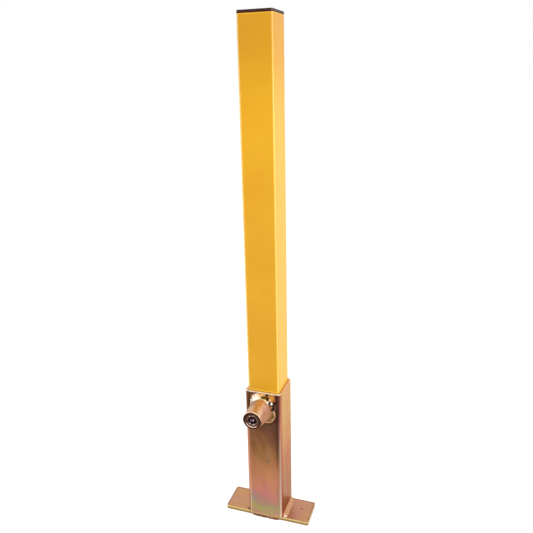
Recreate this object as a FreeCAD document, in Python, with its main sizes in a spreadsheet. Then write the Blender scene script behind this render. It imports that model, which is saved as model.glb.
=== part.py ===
"""Removable bollard: a square post in a floor socket, held by a key-operated bolt.

Millimetres. The origin is on the ground under the middle of the socket. +X runs
along the foot plate, -Y faces the lock and +Z is up. The lock's own pieces are
drawn in the lock's frame, where Z is the depth behind the housing's nose, X is
the bollard's X and Y points down.
"""
import FreeCAD, Part
import math
import os

import Sketcher
from FreeCAD import Placement, Rotation, Vector

SIZES = (
    ("plate_length", "170", "foot plate, along X"),
    ("plate_inset", "5", "foot plate's long edges, behind the socket's faces"),
    ("plate_thickness", "8", "foot plate"),
    ("plate_corner", "4", "corner radius of the foot plate"),
    ("plate_edge", "0.8", "rounding of the foot plate's long edges"),
    ("anchor_spacing", "36", "between the two anchor holes, inside the socket"),
    ("anchor_hole", "11", "diameter of each anchor hole"),
    ("ear_hole", "3.5", "diameter of the hole in the right-hand ear"),
    ("ear_hole_place", "63", "from the socket's middle out to the hole in the ear"),
    ("ear_hole_back", "4", "from the socket's middle back to the hole in the ear"),
    ("weld_leg", "7", "leg of the fillet welds beside the socket's foot"),
    ("weld_face", "16", "radius of those welds' bulging face"),
    ("weld_round", "1.5", "rounding where a foot weld stops"),
    ("under_weld_top", "0.6", "welds under the socket's overhang, behind its face"),
    ("under_weld_toe", "2", "how far those welds stand out at the ground"),
    ("under_weld_lift", "0.4", "those welds, above the ground"),
    ("under_weld_face", "6", "radius of those welds' bulging face"),
    ("socket_wall", "4", "wall of the socket"),
    ("socket_corner", "8", "outside corner radius of the socket"),
    ("socket_top", "280", "height of the socket's rim"),
    ("rim_chamfer", "0.6", "chamfer round the socket's rim"),
    ("rest_pin_diameter", "8", "cross pin that the post stands on"),
    ("rest_pin_height", "135", "height of the cross pin's axis"),
    ("rest_pin_offset", "6.5", "cross pin, off the socket's middle"),
    ("post_width", "60", "outside of the post's square tube"),
    ("post_gap", "1", "gap between the post and the socket, on each side"),
    ("post_wall", "3", "wall of the post"),
    ("post_corner", "4.5", "outside corner radius of the post"),
    ("post_height", "930", "height of the cap's top"),
    ("post_hole_gap", "1.5", "gap round the bolt in the post's hole"),
    ("cap_thickness", "5", "visible edge of the cap"),
    ("cap_overhang", "0.2", "how far the cap stands out past the tube"),
    ("cap_edge", "1.5", "rounding of the cap's upper edge"),
    ("cap_skirt", "16", "depth of the cap's skirt inside the tube"),
    ("cap_skirt_wall", "2", "wall of the cap's skirt"),
    ("cap_fin", "1.2", "thickness of each gripping fin"),
    ("cap_fin_depth", "2.4", "how far a fin stands out from the skirt"),
    ("cap_fin_pitch", "5", "from one fin to the next"),
    ("cap_fin_count", "3", "number of fins"),
    ("fit_gap", "0.1", "gap between parts pushed together"),
    ("lock_drop", "23.5", "lock's axis below the socket's rim"),
    ("housing_length", "58", "from the socket's face to the housing's nose"),
    ("nose_radius", "17.3", "outside of the housing's nose"),
    ("nose_land", "3", "length of the nose before the flare starts"),
    ("nose_chamfer", "0.8", "chamfer round the nose"),
    ("foot_width", "44", "housing where it meets the socket, across"),
    ("foot_height", "52", "housing where it meets the socket, up"),
    ("foot_drop", "8", "from the lock's axis down to the foot's middle"),
    ("back_wall", "5", "housing wall behind the lock's bore"),
    ("mouth_chamfer", "1.5", "chamfer at the mouth of the bore"),
    ("weld_width", "4", "mean width of the bead round the housing's foot"),
    ("weld_rise", "6", "how far that bead stands off the socket"),
    ("barrel_radius", "12.4", "outside of the lock cylinder"),
    ("barrel_recess", "1.5", "lock cylinder's face behind the nose"),
    ("barrel_length", "29.5", "lock cylinder"),
    ("barrel_chamfer", "0.5", "chamfer round the lock cylinder's face"),
    ("keyway_radius", "6.8", "outside of the ring-shaped keyway"),
    ("keyway_depth", "7.5", "lock cylinder's face to the plug's drum"),
    ("key_post", "4", "radius of the post in the middle of the keyway"),
    ("key_notch", "1.6", "width of the key's notches"),
    ("key_notch_depth", "1", "depth of the key's notches"),
    ("drum_radius", "8", "part of the plug that carries the key pins"),
    ("drum_length", "6", "part of the plug that carries the key pins"),
    ("block_step", "0.5", "lock cylinder's bore opens by this for the pin block"),
    ("block_length", "12", "pin block"),
    ("spring_hole_depth", "10", "blind holes in the pin block"),
    ("pin_count", "7", "pins round the keyway"),
    ("pin_circle", "5.4", "radius on which the pins stand"),
    ("pin_radius", "0.95", "radius of a key pin or a driver pin"),
    ("pin_shortest", "6.8", "length of the shortest key pin"),
    ("pin_step", "0.4", "difference between key pin lengths"),
    ("driver_length", "3", "length of a driver pin"),
    ("spring_wall", "0.3", "wire of a pin spring"),
    ("running_gap", "0.06", "gap round what turns or slides"),
    ("spindle_radius", "3.5", "plug's spindle"),
    ("spindle_stop", "1", "spindle's end before the lock cylinder's back"),
    ("clip_thickness", "1", "clip that holds the plug"),
    ("clip_radius", "5.2", "outside of the clip"),
    ("clip_groove", "0.8", "depth of the groove that the clip sits in"),
    ("clip_mouth", "4.4", "opening of the clip"),
    ("tang_width", "6", "flat tail that turns the bolt"),
    ("tang_thickness", "3", "flat tail that turns the bolt"),
    ("tang_bite", "4.5", "length of tail that stays in the thrown bolt's slot"),
    ("tang_gap", "0.15", "gap round the flat tail"),
    ("slot_clearance", "1", "bolt's slot, past the end of the flat tail"),
    ("block_pin", "2", "diameter of the pin that holds the pin block"),
    ("block_pin_bite", "1.4", "depth of that pin in the block"),
    ("barrel_screw", "5.9", "diameter of the screw that holds the lock cylinder"),
    ("barrel_screw_length", "7", "that screw"),
    ("barrel_screw_place", "14", "that screw, behind the nose"),
    ("barrel_screw_key", "3", "across the flats of its hexagon socket"),
    ("barrel_screw_bite", "0.8", "depth of the screw's seat in the lock cylinder"),
    ("guide_pin", "4", "diameter of the pin that drives the bolt along"),
    ("guide_pin_place", "3", "guide pin, before the bush's back end"),
    ("groove_depth", "2", "depth of the bolt's spiral groove"),
    ("groove_gap", "0.3", "gap round the guide pin in the groove"),
    ("bolt_radius", "7", "lock bolt"),
    ("bolt_rear_gap", "1", "from the lock cylinder's back to the withdrawn bolt"),
    ("bolt_setback", "0.5", "withdrawn bolt's tip behind the socket's inner face"),
    ("bolt_chamfer", "1.2", "chamfer round the bolt's tip"),
    ("bolt_travel", "12", "how far the bolt moves in half a turn"),
    ("bolt_hole_gap", "0.3", "gap round the bolt in the housing and socket"),
)

PIN_CUTS = (1, 3, 0, 4, 2, 1, 3)
WELD_WIDTHS = (
    (0, 1.05), (18, 1.20), (34, 1.65), (48, 1.95), (62, 1.55), (78, 1.25), (92, 1.25),
    (110, 1.20), (126, 1.40), (142, 1.00), (160, 0.65), (180, 0.50), (200, 0.60), (216, 1.00),
    (230, 1.40), (244, 1.15), (258, 0.70), (270, 0.50), (284, 0.50), (298, 0.60), (312, 1.00),
    (326, 1.20), (342, 1.10),
)
WELD_SECTION = ((0, 1.0), (0.35, 0.96), (0.7, 0.7), (0.95, 0.25), (1.05, -0.4))

SOCKET_WIDTH = "(sizes.post_width + 2 * sizes.post_gap + 2 * sizes.socket_wall)"
SOCKET_INSIDE = "(sizes.post_width + 2 * sizes.post_gap)"
PLATE_WIDTH = f"({SOCKET_WIDTH} - 2 * sizes.plate_inset)"
LOCK_HEIGHT = "(sizes.socket_top - sizes.lock_drop)"
POST_FOOT = "(sizes.rest_pin_height + sizes.rest_pin_diameter / 2)"
POST_INSIDE = "(sizes.post_width - 2 * sizes.post_wall)"
HOUSING_BORE = "(sizes.barrel_radius + sizes.fit_gap)"
BOLT_HOLE = "(sizes.bolt_radius + sizes.bolt_hole_gap)"
SHOULDER = "(sizes.barrel_recess + sizes.keyway_depth)"
SHEAR = "(sizes.barrel_recess + sizes.keyway_depth + sizes.drum_length)"
BARREL_BACK = "(sizes.barrel_recess + sizes.barrel_length)"
BLOCK_BORE = "(sizes.drum_radius + sizes.block_step)"
BLOCK_BACK = f"({SHEAR} + sizes.block_length)"
SPINDLE_END = f"({BARREL_BACK} - sizes.spindle_stop)"
GROOVE_FLOOR = "(sizes.spindle_radius - sizes.clip_groove)"
BUSH_BACK = "(sizes.housing_length - sizes.back_wall)"
GUIDE_PLACE = f"({BUSH_BACK} - sizes.guide_pin_place)"
GUIDE_TIP = "(sizes.bolt_radius - sizes.groove_depth + sizes.groove_gap)"
BOLT_TIP = "(sizes.housing_length + sizes.socket_wall - sizes.bolt_setback)"
BOLT_REAR = f"({BARREL_BACK} + sizes.bolt_rear_gap)"
TANG_END = f"({BOLT_REAR} + sizes.bolt_travel + sizes.tang_bite)"
FIRST_PIN = "(180 deg / sizes.pin_count - 90 deg)"
SAME_PLACE = 1e-4

doc = FreeCAD.newDocument("removable_bollard")
sheet = doc.addObject("Spreadsheet::Sheet", "sizes")
for row, (alias, number, meaning) in enumerate(SIZES, start=1):
    sheet.set(f"A{row}", alias)
    sheet.set(f"B{row}", number)
    sheet.setAlias(f"B{row}", alias)
    sheet.set(f"C{row}", meaning)
doc.recompute()

nodes = []


def value(expression):
    """Return the number that an expression on the size sheet gives."""
    return float(sheet.evalExpression(expression.replace("sizes.", "")))


def new_body(name, compound=False):
    """Start the body of one piece and list it as a node."""
    body = doc.addObject("PartDesign::Body", name)
    body.Label = name
    body.AllowCompound = compound
    nodes.append(body)
    return body


def place(thing, x="0", y="0", z="0"):
    """Tie a piece's position to the size sheet."""
    for axis, expression in (("x", x), ("y", y), ("z", z)):
        if expression != "0":
            thing.setExpression(f"Placement.Base.{axis}", expression)


def place_in_lock(thing):
    """Lay a piece along the lock's axis, with its own Z pointing into the post."""
    thing.Placement = Placement(Vector(0, 0, 0), Rotation(Vector(1, 0, 0), -90))
    place(thing, y=f"-{SOCKET_WIDTH} / 2 - sizes.housing_length", z=LOCK_HEIGHT)


def sketch_on(body, role, name, offset="0"):
    """Start a sketch on one of the body's own planes, moved along the plane's normal."""
    plane = next(feature for feature in body.Origin.OriginFeatures if feature.Role == role)
    sketch = body.newObject("Sketcher::SketchObject", name)
    sketch.AttachmentSupport = [(plane, "")]
    sketch.MapMode = "FlatFace"
    if offset != "0":
        sketch.setExpression("AttachmentOffset.Base.z", offset)
    return sketch


def bind(sketch, name, expression, *constraint):
    """Add a sized constraint, name it and tie it to the size sheet."""
    index = sketch.addConstraint(Sketcher.Constraint(*constraint, value(expression)))
    sketch.renameConstraint(index, name)
    sketch.setExpression(f"Constraints.{name}", expression)


def pin_point(sketch, name, geometry, vertex, x, y):
    """Tie a point of a sketch to the sketch's origin."""
    for axis, expression, line in (("X", x, -2), ("Y", y, -1)):
        if expression == "0":
            sketch.addConstraint(Sketcher.Constraint("PointOnObject", geometry, vertex, line))
        else:
            bind(sketch, f"{name}_{axis.lower()}", expression, "Distance" + axis, -1, 1, geometry, vertex)


def circle(sketch, name, radius, x="0", y="0"):
    """Draw a circle."""
    centre = Vector(value(x), value(y), 0)
    index = sketch.addGeometry(Part.Circle(centre, Vector(0, 0, 1), value(radius)), False)
    bind(sketch, f"{name}_radius", radius, "Radius", index)
    pin_point(sketch, name, index, 3, x, y)


def sketch_line(sketch, start, end):
    """Draw one straight line and return its number."""
    return sketch.addGeometry(Part.LineSegment(start, end), False)


def polygon(sketch, name, points):
    """Draw a closed outline of straight lines through points given as expressions."""
    spots = [Vector(value(x), value(y), 0) for x, y in points]
    lines = [sketch_line(sketch, spot, spots[(i + 1) % len(spots)]) for i, spot in enumerate(spots)]
    for i, line in enumerate(lines):
        following = lines[(i + 1) % len(lines)]
        sketch.addConstraint(Sketcher.Constraint("Coincident", line, 2, following, 1))
        pin_point(sketch, f"{name}_{i}", line, 1, *points[i])


def rectangle(sketch, name, left, bottom, right, top):
    """Draw a rectangle from the places of its four sides."""
    polygon(sketch, name, ((left, bottom), (right, bottom), (right, top), (left, top)))


def rounded_square(sketch, name, width, depth, radius):
    """Draw a rectangle with round corners about the sketch's origin."""
    half_x, half_y, round_off = value(width) / 2, value(depth) / 2, value(radius)
    inner_x, inner_y = half_x - round_off, half_y - round_off
    sides = (
        ((-inner_x, -half_y), (inner_x, -half_y), (inner_x, -inner_y), -90),
        ((half_x, -inner_y), (half_x, inner_y), (inner_x, inner_y), 0),
        ((inner_x, half_y), (-inner_x, half_y), (-inner_x, inner_y), 90),
        ((-half_x, inner_y), (-half_x, -inner_y), (-inner_x, -inner_y), 180),
    )
    lines, arcs = [], []
    for start, end, centre, angle in sides:
        lines.append(sketch_line(sketch, Vector(*start, 0), Vector(*end, 0)))
        ring = Part.Circle(Vector(*centre, 0), Vector(0, 0, 1), round_off)
        turn = math.radians(angle)
        arcs.append(sketch.addGeometry(Part.ArcOfCircle(ring, turn, turn + math.pi / 2), False))
    for i in range(4):
        sketch.addConstraint(Sketcher.Constraint("Tangent", lines[i], 2, arcs[i], 1))
        sketch.addConstraint(Sketcher.Constraint("Tangent", arcs[i], 2, lines[(i + 1) % 4], 1))
        sketch.addConstraint(Sketcher.Constraint("Horizontal" if i % 2 == 0 else "Vertical", lines[i]))
    for arc in arcs[1:]:
        sketch.addConstraint(Sketcher.Constraint("Equal", arcs[0], arc))
    bind(sketch, f"{name}_radius", radius, "Radius", arcs[0])
    bind(sketch, f"{name}_width", width, "DistanceX", lines[3], 1, lines[1], 1)
    bind(sketch, f"{name}_depth", depth, "DistanceY", lines[0], 1, lines[2], 1)
    sketch.addConstraint(Sketcher.Constraint("Symmetric", arcs[0], 3, arcs[2], 3, -1, 1))


def ellipse(sketch, name, width, height, y):
    """Draw an upright ellipse whose centre is on the sketch's vertical axis."""
    centre = Vector(0, value(y), 0)
    major = centre + Vector(0, value(height) / 2, 0)
    minor = centre + Vector(-value(width) / 2, 0, 0)
    index = sketch.addGeometry(Part.Ellipse(major, minor, centre), False)
    sketch.exposeInternalGeometry(index)
    bind(sketch, f"{name}_height", height, "Distance", index + 1)
    bind(sketch, f"{name}_width", width, "Distance", index + 2)
    sketch.addConstraint(Sketcher.Constraint("Vertical", index + 1))
    pin_point(sketch, name, index, 3, "0", y)


def pad(body, name, sketch, length, flip=False, symmetric=False):
    """Raise a sketch along its normal, against it, or evenly both ways."""
    feature = body.newObject("PartDesign::Pad", name)
    feature.Profile = sketch
    feature.setExpression("Length", length)
    feature.Reversed = flip
    feature.SideType = "Symmetric" if symmetric else "One side"
    doc.recompute()
    return feature


def pocket(body, name, sketch, length=None, flip=False, symmetric=False):
    """Cut a sketch into the body, all the way through unless a length is given."""
    before = body.Shape.Volume
    feature = body.newObject("PartDesign::Pocket", name)
    feature.Profile = sketch
    if length is None:
        feature.Type = "ThroughAll"
    else:
        feature.setExpression("Length", length)
    feature.Reversed = flip
    feature.SideType = "Symmetric" if symmetric else "One side"
    doc.recompute()
    if not body.Shape.Volume < before:
        raise RuntimeError(f"{body.Label}: {name} cuts nothing")
    return feature


def revolve(body, name, sketch):
    """Turn a profile once round the sketch's vertical axis."""
    feature = body.newObject("PartDesign::Revolution", name)
    feature.Profile = sketch
    feature.ReferenceAxis = (sketch, ["V_Axis"])
    feature.Angle = 360
    doc.recompute()
    return feature


def repeat_round(body, name, feature):
    """Repeat a feature round the body's Z axis, once for each pin of the lock."""
    pattern = body.newObject("PartDesign::PolarPattern", name)
    pattern.Originals = [feature]
    pattern.Axis = (next(f for f in body.Origin.OriginFeatures if f.Role == "Z_Axis"), [""])
    pattern.Angle = 360
    pattern.setExpression("Occurrences", "sizes.pin_count")
    body.Tip = pattern
    doc.recompute()
    return pattern


def dress_edges(body, kind, name, size, wanted):
    """Round or chamfer those edges of a body that a test picks."""
    edges = [f"Edge{i}" for i, edge in enumerate(body.Tip.Shape.Edges, start=1) if wanted(edge)]
    if not edges:
        raise RuntimeError(f"{body.Label}: {name} finds no edge")
    base = body.Tip
    feature = body.newObject(f"PartDesign::{kind}", name)
    feature.Base = (base, edges)
    feature.setExpression("Radius" if kind == "Fillet" else "Size", size)
    doc.recompute()
    return feature


def lies_at(edge, axis, place_on_axis):
    """Tell whether a whole edge lies at one place along an axis of its body."""
    box = edge.BoundBox
    low, high = getattr(box, f"{axis}Min"), getattr(box, f"{axis}Max")
    return abs(low - place_on_axis) < SAME_PLACE and abs(high - place_on_axis) < SAME_PLACE


def is_ring(edge, radius):
    """Tell whether an edge is part of a circle of a given radius."""
    return isinstance(edge.Curve, Part.Circle) and abs(edge.Curve.Radius - radius) < SAME_PLACE


def foot_plate():
    """Flat bar under the socket, with two anchor holes inside the socket."""
    body = new_body("base_plate")
    outline = sketch_on(body, "XY_Plane", "plate_outline")
    rounded_square(outline, "plate", "sizes.plate_length", PLATE_WIDTH, "sizes.plate_corner")
    pad(body, "plate_bar", outline, "sizes.plate_thickness")
    top = value("sizes.plate_thickness")
    dress_edges(body, "Fillet", "plate_rounding", "sizes.plate_edge",
                lambda edge: lies_at(edge, "Z", 0) or lies_at(edge, "Z", top))
    holes = sketch_on(body, "XY_Plane", "plate_holes")
    circle(holes, "anchor_left", "sizes.anchor_hole / 2", x="-sizes.anchor_spacing / 2")
    circle(holes, "anchor_right", "sizes.anchor_hole / 2", x="sizes.anchor_spacing / 2")
    circle(holes, "ear", "sizes.ear_hole / 2", x="sizes.ear_hole_place", y="sizes.ear_hole_back")
    pocket(body, "plate_drilling", holes, flip=True)


def socket_tube():
    """Square tube that takes the post, with a hole for the bolt and a cross hole for the rest pin."""
    body = new_body("socket_tube")
    place(body, z="sizes.plate_thickness")
    outline = sketch_on(body, "XY_Plane", "socket_section")
    rounded_square(outline, "outside", SOCKET_WIDTH, SOCKET_WIDTH, "sizes.socket_corner")
    rounded_square(outline, "inside", SOCKET_INSIDE, SOCKET_INSIDE,
                   "sizes.socket_corner - sizes.socket_wall")
    pad(body, "socket_length", outline, "sizes.socket_top - sizes.plate_thickness")
    rim = value("sizes.socket_top - sizes.plate_thickness")
    reach = value(f"{SOCKET_INSIDE} / 2 + sizes.socket_wall / 2")

    def on_outer_rim(edge):
        box = edge.BoundBox
        furthest = max(abs(box.XMin), abs(box.XMax), abs(box.YMin), abs(box.YMax))
        return lies_at(edge, "Z", rim) and furthest > reach

    dress_edges(body, "Chamfer", "rim_edge", "sizes.rim_chamfer", on_outer_rim)
    bolt_hole = sketch_on(body, "XZ_Plane", "bolt_hole")
    circle(bolt_hole, "bolt", BOLT_HOLE, y=f"{LOCK_HEIGHT} - sizes.plate_thickness")
    pocket(body, "bolt_drilling", bolt_hole, flip=True)
    cross_hole = sketch_on(body, "XZ_Plane", "rest_pin_hole")
    circle(cross_hole, "rest_pin", "sizes.rest_pin_diameter / 2",
           x="sizes.rest_pin_offset", y="sizes.rest_pin_height - sizes.plate_thickness")
    pocket(body, "rest_pin_drilling", cross_hole, symmetric=True)


def weld_outline(section, corners, radius):
    """Draw a weld's flat sides through its corners and close them with a bulging face."""
    spots = [Vector(value(x), value(y), 0) for x, y in corners]
    sides = [sketch_line(section, spot, following) for spot, following in zip(spots, spots[1:])]
    chord = spots[0] - spots[-1]
    bulge = value(radius) - math.sqrt(value(radius) ** 2 - (chord.Length / 2) ** 2)
    outward = Vector(chord.y, -chord.x, 0).normalize()
    middle = (spots[0] + spots[-1]) / 2 + outward * bulge
    face = section.addGeometry(Part.Arc(spots[-1], middle, spots[0]), False)
    for side, following in zip(sides + [face], sides[1:] + [face, sides[0]]):
        section.addConstraint(Sketcher.Constraint("Coincident", side, 2, following, 1))
    for i, side in enumerate(sides):
        pin_point(section, f"corner_{i}", side, 1, *corners[i])
    pin_point(section, f"corner_{len(sides)}", sides[-1], 2, *corners[-1])
    bind(section, "face_radius", radius, "Radius", face)


def weld_bead(name, turn, role, corners, radius, run, along):
    """Straight bead with rounded stops, drawn on one plane and turned about the socket's middle."""
    body = new_body(name)
    body.Placement = Placement(Vector(0, 0, 0), Rotation(Vector(0, 0, 1), turn))
    section = sketch_on(body, role, "weld_section")
    weld_outline(section, corners, radius)
    pad(body, "weld_run", section, run, symmetric=True)
    end = value(run) / 2
    dress_edges(body, "Fillet", "weld_stops", "sizes.weld_round",
                lambda edge: (lies_at(edge, along, end) or lies_at(edge, along, -end))
                and isinstance(edge.Curve, Part.Circle))


def side_weld(name, turn):
    """Fillet weld between the socket's side and the foot plate's top."""
    face = f"{SOCKET_WIDTH} / 2"
    corners = (
        (face, "sizes.plate_thickness + sizes.weld_leg"),
        (face, "sizes.plate_thickness"),
        (f"{face} + sizes.weld_leg", "sizes.plate_thickness"),
    )
    weld_bead(name, turn, "XZ_Plane", corners, "sizes.weld_face",
              f"{PLATE_WIDTH} - 2 * sizes.plate_edge", "Y")


def under_weld(name, turn):
    """Weld in the corner under the socket's overhang, on the foot plate's long edge."""
    edge = f"{PLATE_WIDTH} / 2"
    corners = (
        (f"{SOCKET_WIDTH} / 2 - sizes.under_weld_top", "sizes.plate_thickness"),
        (edge, "sizes.plate_thickness"),
        (edge, "sizes.under_weld_lift"),
        (f"{edge} + sizes.under_weld_toe", "sizes.under_weld_lift"),
    )
    weld_bead(name, turn, "YZ_Plane", corners, "sizes.under_weld_face",
              f"{SOCKET_WIDTH} - 2 * sizes.socket_corner", "X")


def rest_pin():
    """Cross pin that the post stands on, ground flush with both faces of the socket."""
    body = new_body("rest_pin")
    place(body, x="sizes.rest_pin_offset", z="sizes.rest_pin_height")
    section = sketch_on(body, "XZ_Plane", "pin_section")
    circle(section, "pin", "sizes.rest_pin_diameter / 2")
    pad(body, "pin_length", section, SOCKET_WIDTH, symmetric=True)


def lock_housing():
    """Flared steel nose on the socket: a round nose lofted to an oval foot, bored for the lock."""
    body = new_body("lock_housing")
    place_in_lock(body)
    nose = sketch_on(body, "XY_Plane", "nose_outline")
    circle(nose, "nose", "sizes.nose_radius")
    pad(body, "nose_ring", nose, "sizes.nose_land")
    start = sketch_on(body, "XY_Plane", "flare_start", "sizes.nose_land")
    start.AttachmentOffset = Placement(Vector(0, 0, 0), Rotation(Vector(0, 0, 1), 90))
    circle(start, "start", "sizes.nose_radius")
    foot = sketch_on(body, "XY_Plane", "flare_foot", "sizes.housing_length")
    ellipse(foot, "foot", "sizes.foot_width", "sizes.foot_height", "sizes.foot_drop")
    flare = body.newObject("PartDesign::AdditiveLoft", "flare")
    flare.Profile = start
    flare.Sections = [foot]
    doc.recompute()
    bore = sketch_on(body, "XY_Plane", "bore_outline")
    circle(bore, "bore", HOUSING_BORE)
    pocket(body, "bore", bore, "sizes.housing_length - sizes.back_wall", flip=True)
    bolt_way = sketch_on(body, "XY_Plane", "bolt_way_outline")
    circle(bolt_way, "bolt_way", BOLT_HOLE)
    pocket(body, "bolt_way", bolt_way, flip=True)
    screw_way = sketch_on(body, "XZ_Plane", "screw_way_outline")
    circle(screw_way, "screw", "sizes.barrel_screw / 2 + sizes.running_gap", y="sizes.barrel_screw_place")
    pocket(body, "screw_way", screw_way)
    bore_radius = value(HOUSING_BORE)
    dress_edges(body, "Chamfer", "mouth", "sizes.mouth_chamfer",
                lambda edge: lies_at(edge, "Z", 0) and is_ring(edge, bore_radius))
    nose_radius = value("sizes.nose_radius")
    dress_edges(body, "Chamfer", "nose_edge", "sizes.nose_chamfer",
                lambda edge: lies_at(edge, "Z", 0) and is_ring(edge, nose_radius))
    return body


def bead_ring(rise_share, outset_share):
    """Closed smooth line round the housing's foot, set out from it by the bead's local width."""
    half_width, half_height = value("sizes.foot_width") / 2, value("sizes.foot_height") / 2
    middle = value(f"{LOCK_HEIGHT} - sizes.foot_drop")
    front = value(f"-{SOCKET_WIDTH} / 2") - rise_share * value("sizes.weld_rise")
    points = []
    for angle, share in WELD_WIDTHS:
        across, down = value(f"cos({angle} deg)"), value(f"sin({angle} deg)")
        outward = Vector(across / half_width, 0, -down / half_height).normalize()
        foot = Vector(half_width * across, front, middle - half_height * down)
        points.append(foot + outward * (value("sizes.weld_width") * share * outset_share))
    curve = Part.BSplineCurve()
    curve.interpolate(Points=points, PeriodicFlag=True)
    return Part.Wire(curve.toShape())


def housing_weld(housing):
    """Hand-laid bead round the housing's foot, wide at its corners and rounded over in front."""
    rings = [bead_ring(rise, outset) for rise, outset in WELD_SECTION]
    run = doc.addObject("Part::Feature", "weld_run")
    run.Shape = Part.makeLoft(rings, True, False)
    core = doc.addObject("Part::Cylinder", "weld_core")
    core.setExpression("Radius", "sizes.foot_width / 2 - sizes.back_wall")
    core.setExpression("Height", "sizes.housing_length + sizes.socket_wall")
    place_in_lock(core)
    ring = doc.addObject("Part::Cut", "weld_ring")
    ring.Base = run
    ring.Tool = core
    bead = doc.addObject("Part::Cut", "housing_weld")
    bead.Label = "housing_weld"
    bead.Base = ring
    bead.Tool = housing
    nodes.append(bead)


def lock_barrel():
    """Shell of the tubular lock cylinder, open in front for a ring-shaped key."""
    body = new_body("lock_barrel")
    place_in_lock(body)
    drum_bore = "sizes.drum_radius + sizes.running_gap"
    profile = sketch_on(body, "XZ_Plane", "barrel_profile")
    polygon(profile, "barrel", (
        ("sizes.keyway_radius", "sizes.barrel_recess"),
        ("sizes.barrel_radius - sizes.barrel_chamfer", "sizes.barrel_recess"),
        ("sizes.barrel_radius", "sizes.barrel_recess + sizes.barrel_chamfer"),
        ("sizes.barrel_radius", BARREL_BACK),
        (BLOCK_BORE, BARREL_BACK),
        (BLOCK_BORE, SHEAR),
        (drum_bore, SHEAR),
        (drum_bore, SHOULDER),
        ("sizes.keyway_radius", SHOULDER),
    ))
    revolve(body, "barrel_shell", profile)
    notch = sketch_on(body, "XY_Plane", "key_notch_outline", "sizes.barrel_recess")
    rectangle(notch, "notch", "-sizes.key_notch / 2", "-sizes.keyway_radius - sizes.key_notch_depth",
              "sizes.key_notch / 2", "-sizes.key_post")
    pocket(body, "key_notch", notch, "sizes.keyway_depth", flip=True)
    seat = sketch_on(body, "XZ_Plane", "screw_seat_outline",
                     "-(sizes.barrel_radius - sizes.barrel_screw_bite)")
    circle(seat, "seat", "sizes.barrel_screw / 2 + sizes.running_gap", y="sizes.barrel_screw_place")
    pocket(body, "screw_seat", seat)
    pin_way = sketch_on(body, "XZ_Plane", "block_pin_way_outline")
    circle(pin_way, "pin_way", "sizes.block_pin / 2", y=f"{SHEAR} + sizes.block_length / 2")
    pocket(body, "block_pin_way", pin_way, flip=True)


def lock_plug():
    """Turning core: key post, drum with the key pins' holes, spindle and flat tail in one piece."""
    body = new_body("lock_plug")
    place_in_lock(body)
    face = "sizes.barrel_recess + sizes.barrel_chamfer"
    drum_front = f"{SHOULDER} + sizes.running_gap"
    drum_back = f"{SHEAR} - sizes.running_gap"
    groove_front = f"{BLOCK_BACK} + sizes.running_gap"
    groove_back = f"{BLOCK_BACK} + sizes.clip_thickness + 3 * sizes.running_gap"
    profile = sketch_on(body, "XZ_Plane", "plug_profile")
    polygon(profile, "plug", (
        ("0", face),
        ("sizes.key_post - sizes.barrel_chamfer", face),
        ("sizes.key_post", f"{face} + sizes.barrel_chamfer"),
        ("sizes.key_post", drum_front),
        ("sizes.drum_radius", drum_front),
        ("sizes.drum_radius", drum_back),
        ("sizes.spindle_radius", drum_back),
        ("sizes.spindle_radius", groove_front),
        (GROOVE_FLOOR, groove_front),
        (GROOVE_FLOOR, groove_back),
        ("sizes.spindle_radius", groove_back),
        ("sizes.spindle_radius", SPINDLE_END),
        ("0", SPINDLE_END),
    ))
    revolve(body, "plug_turning", profile)
    tail = sketch_on(body, "XY_Plane", "tang_outline", SPINDLE_END)
    rectangle(tail, "tang", "-sizes.tang_width / 2", "-sizes.tang_thickness / 2",
              "sizes.tang_width / 2", "sizes.tang_thickness / 2")
    pad(body, "tang", tail, f"{TANG_END} - {SPINDLE_END}")
    notch = sketch_on(body, "XY_Plane", "post_notch_outline", face)
    rectangle(notch, "notch", "-sizes.key_notch / 2", "-sizes.key_post - sizes.key_notch_depth",
              "sizes.key_notch / 2", "-sizes.key_post + sizes.key_notch_depth")
    pocket(body, "post_notch", notch, "sizes.keyway_depth - sizes.barrel_chamfer", flip=True)
    hole = sketch_on(body, "XY_Plane", "pin_hole_outline", drum_front)
    circle(hole, "pin_hole", "sizes.pin_radius + sizes.running_gap",
           x=f"sizes.pin_circle * cos({FIRST_PIN})", y=f"sizes.pin_circle * sin({FIRST_PIN})")
    first = pocket(body, "pin_hole", hole, flip=True)
    repeat_round(body, "pin_holes", first)


def key_pins():
    """Seven pins of different lengths that the key pushes in, standing at the shear line."""
    count = int(value("sizes.pin_count"))
    pins = []
    for number in range(count):
        pin = doc.addObject("Part::Cylinder", f"key_pin_{number}")
        length = f"(sizes.pin_shortest + {PIN_CUTS[number % len(PIN_CUTS)]} * sizes.pin_step)"
        angle = f"({FIRST_PIN} + {number} * 360 deg / sizes.pin_count)"
        pin.setExpression("Radius", "sizes.pin_radius")
        pin.setExpression("Height", length)
        place(pin, x=f"sizes.pin_circle * cos({angle})", y=f"sizes.pin_circle * sin({angle})",
              z=f"{SHEAR} - sizes.running_gap - {length}")
        pins.append(pin)
    group = doc.addObject("Part::Compound", "key_pins")
    group.Label = "key_pins"
    group.Links = pins
    place_in_lock(group)
    nodes.append(group)


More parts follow.
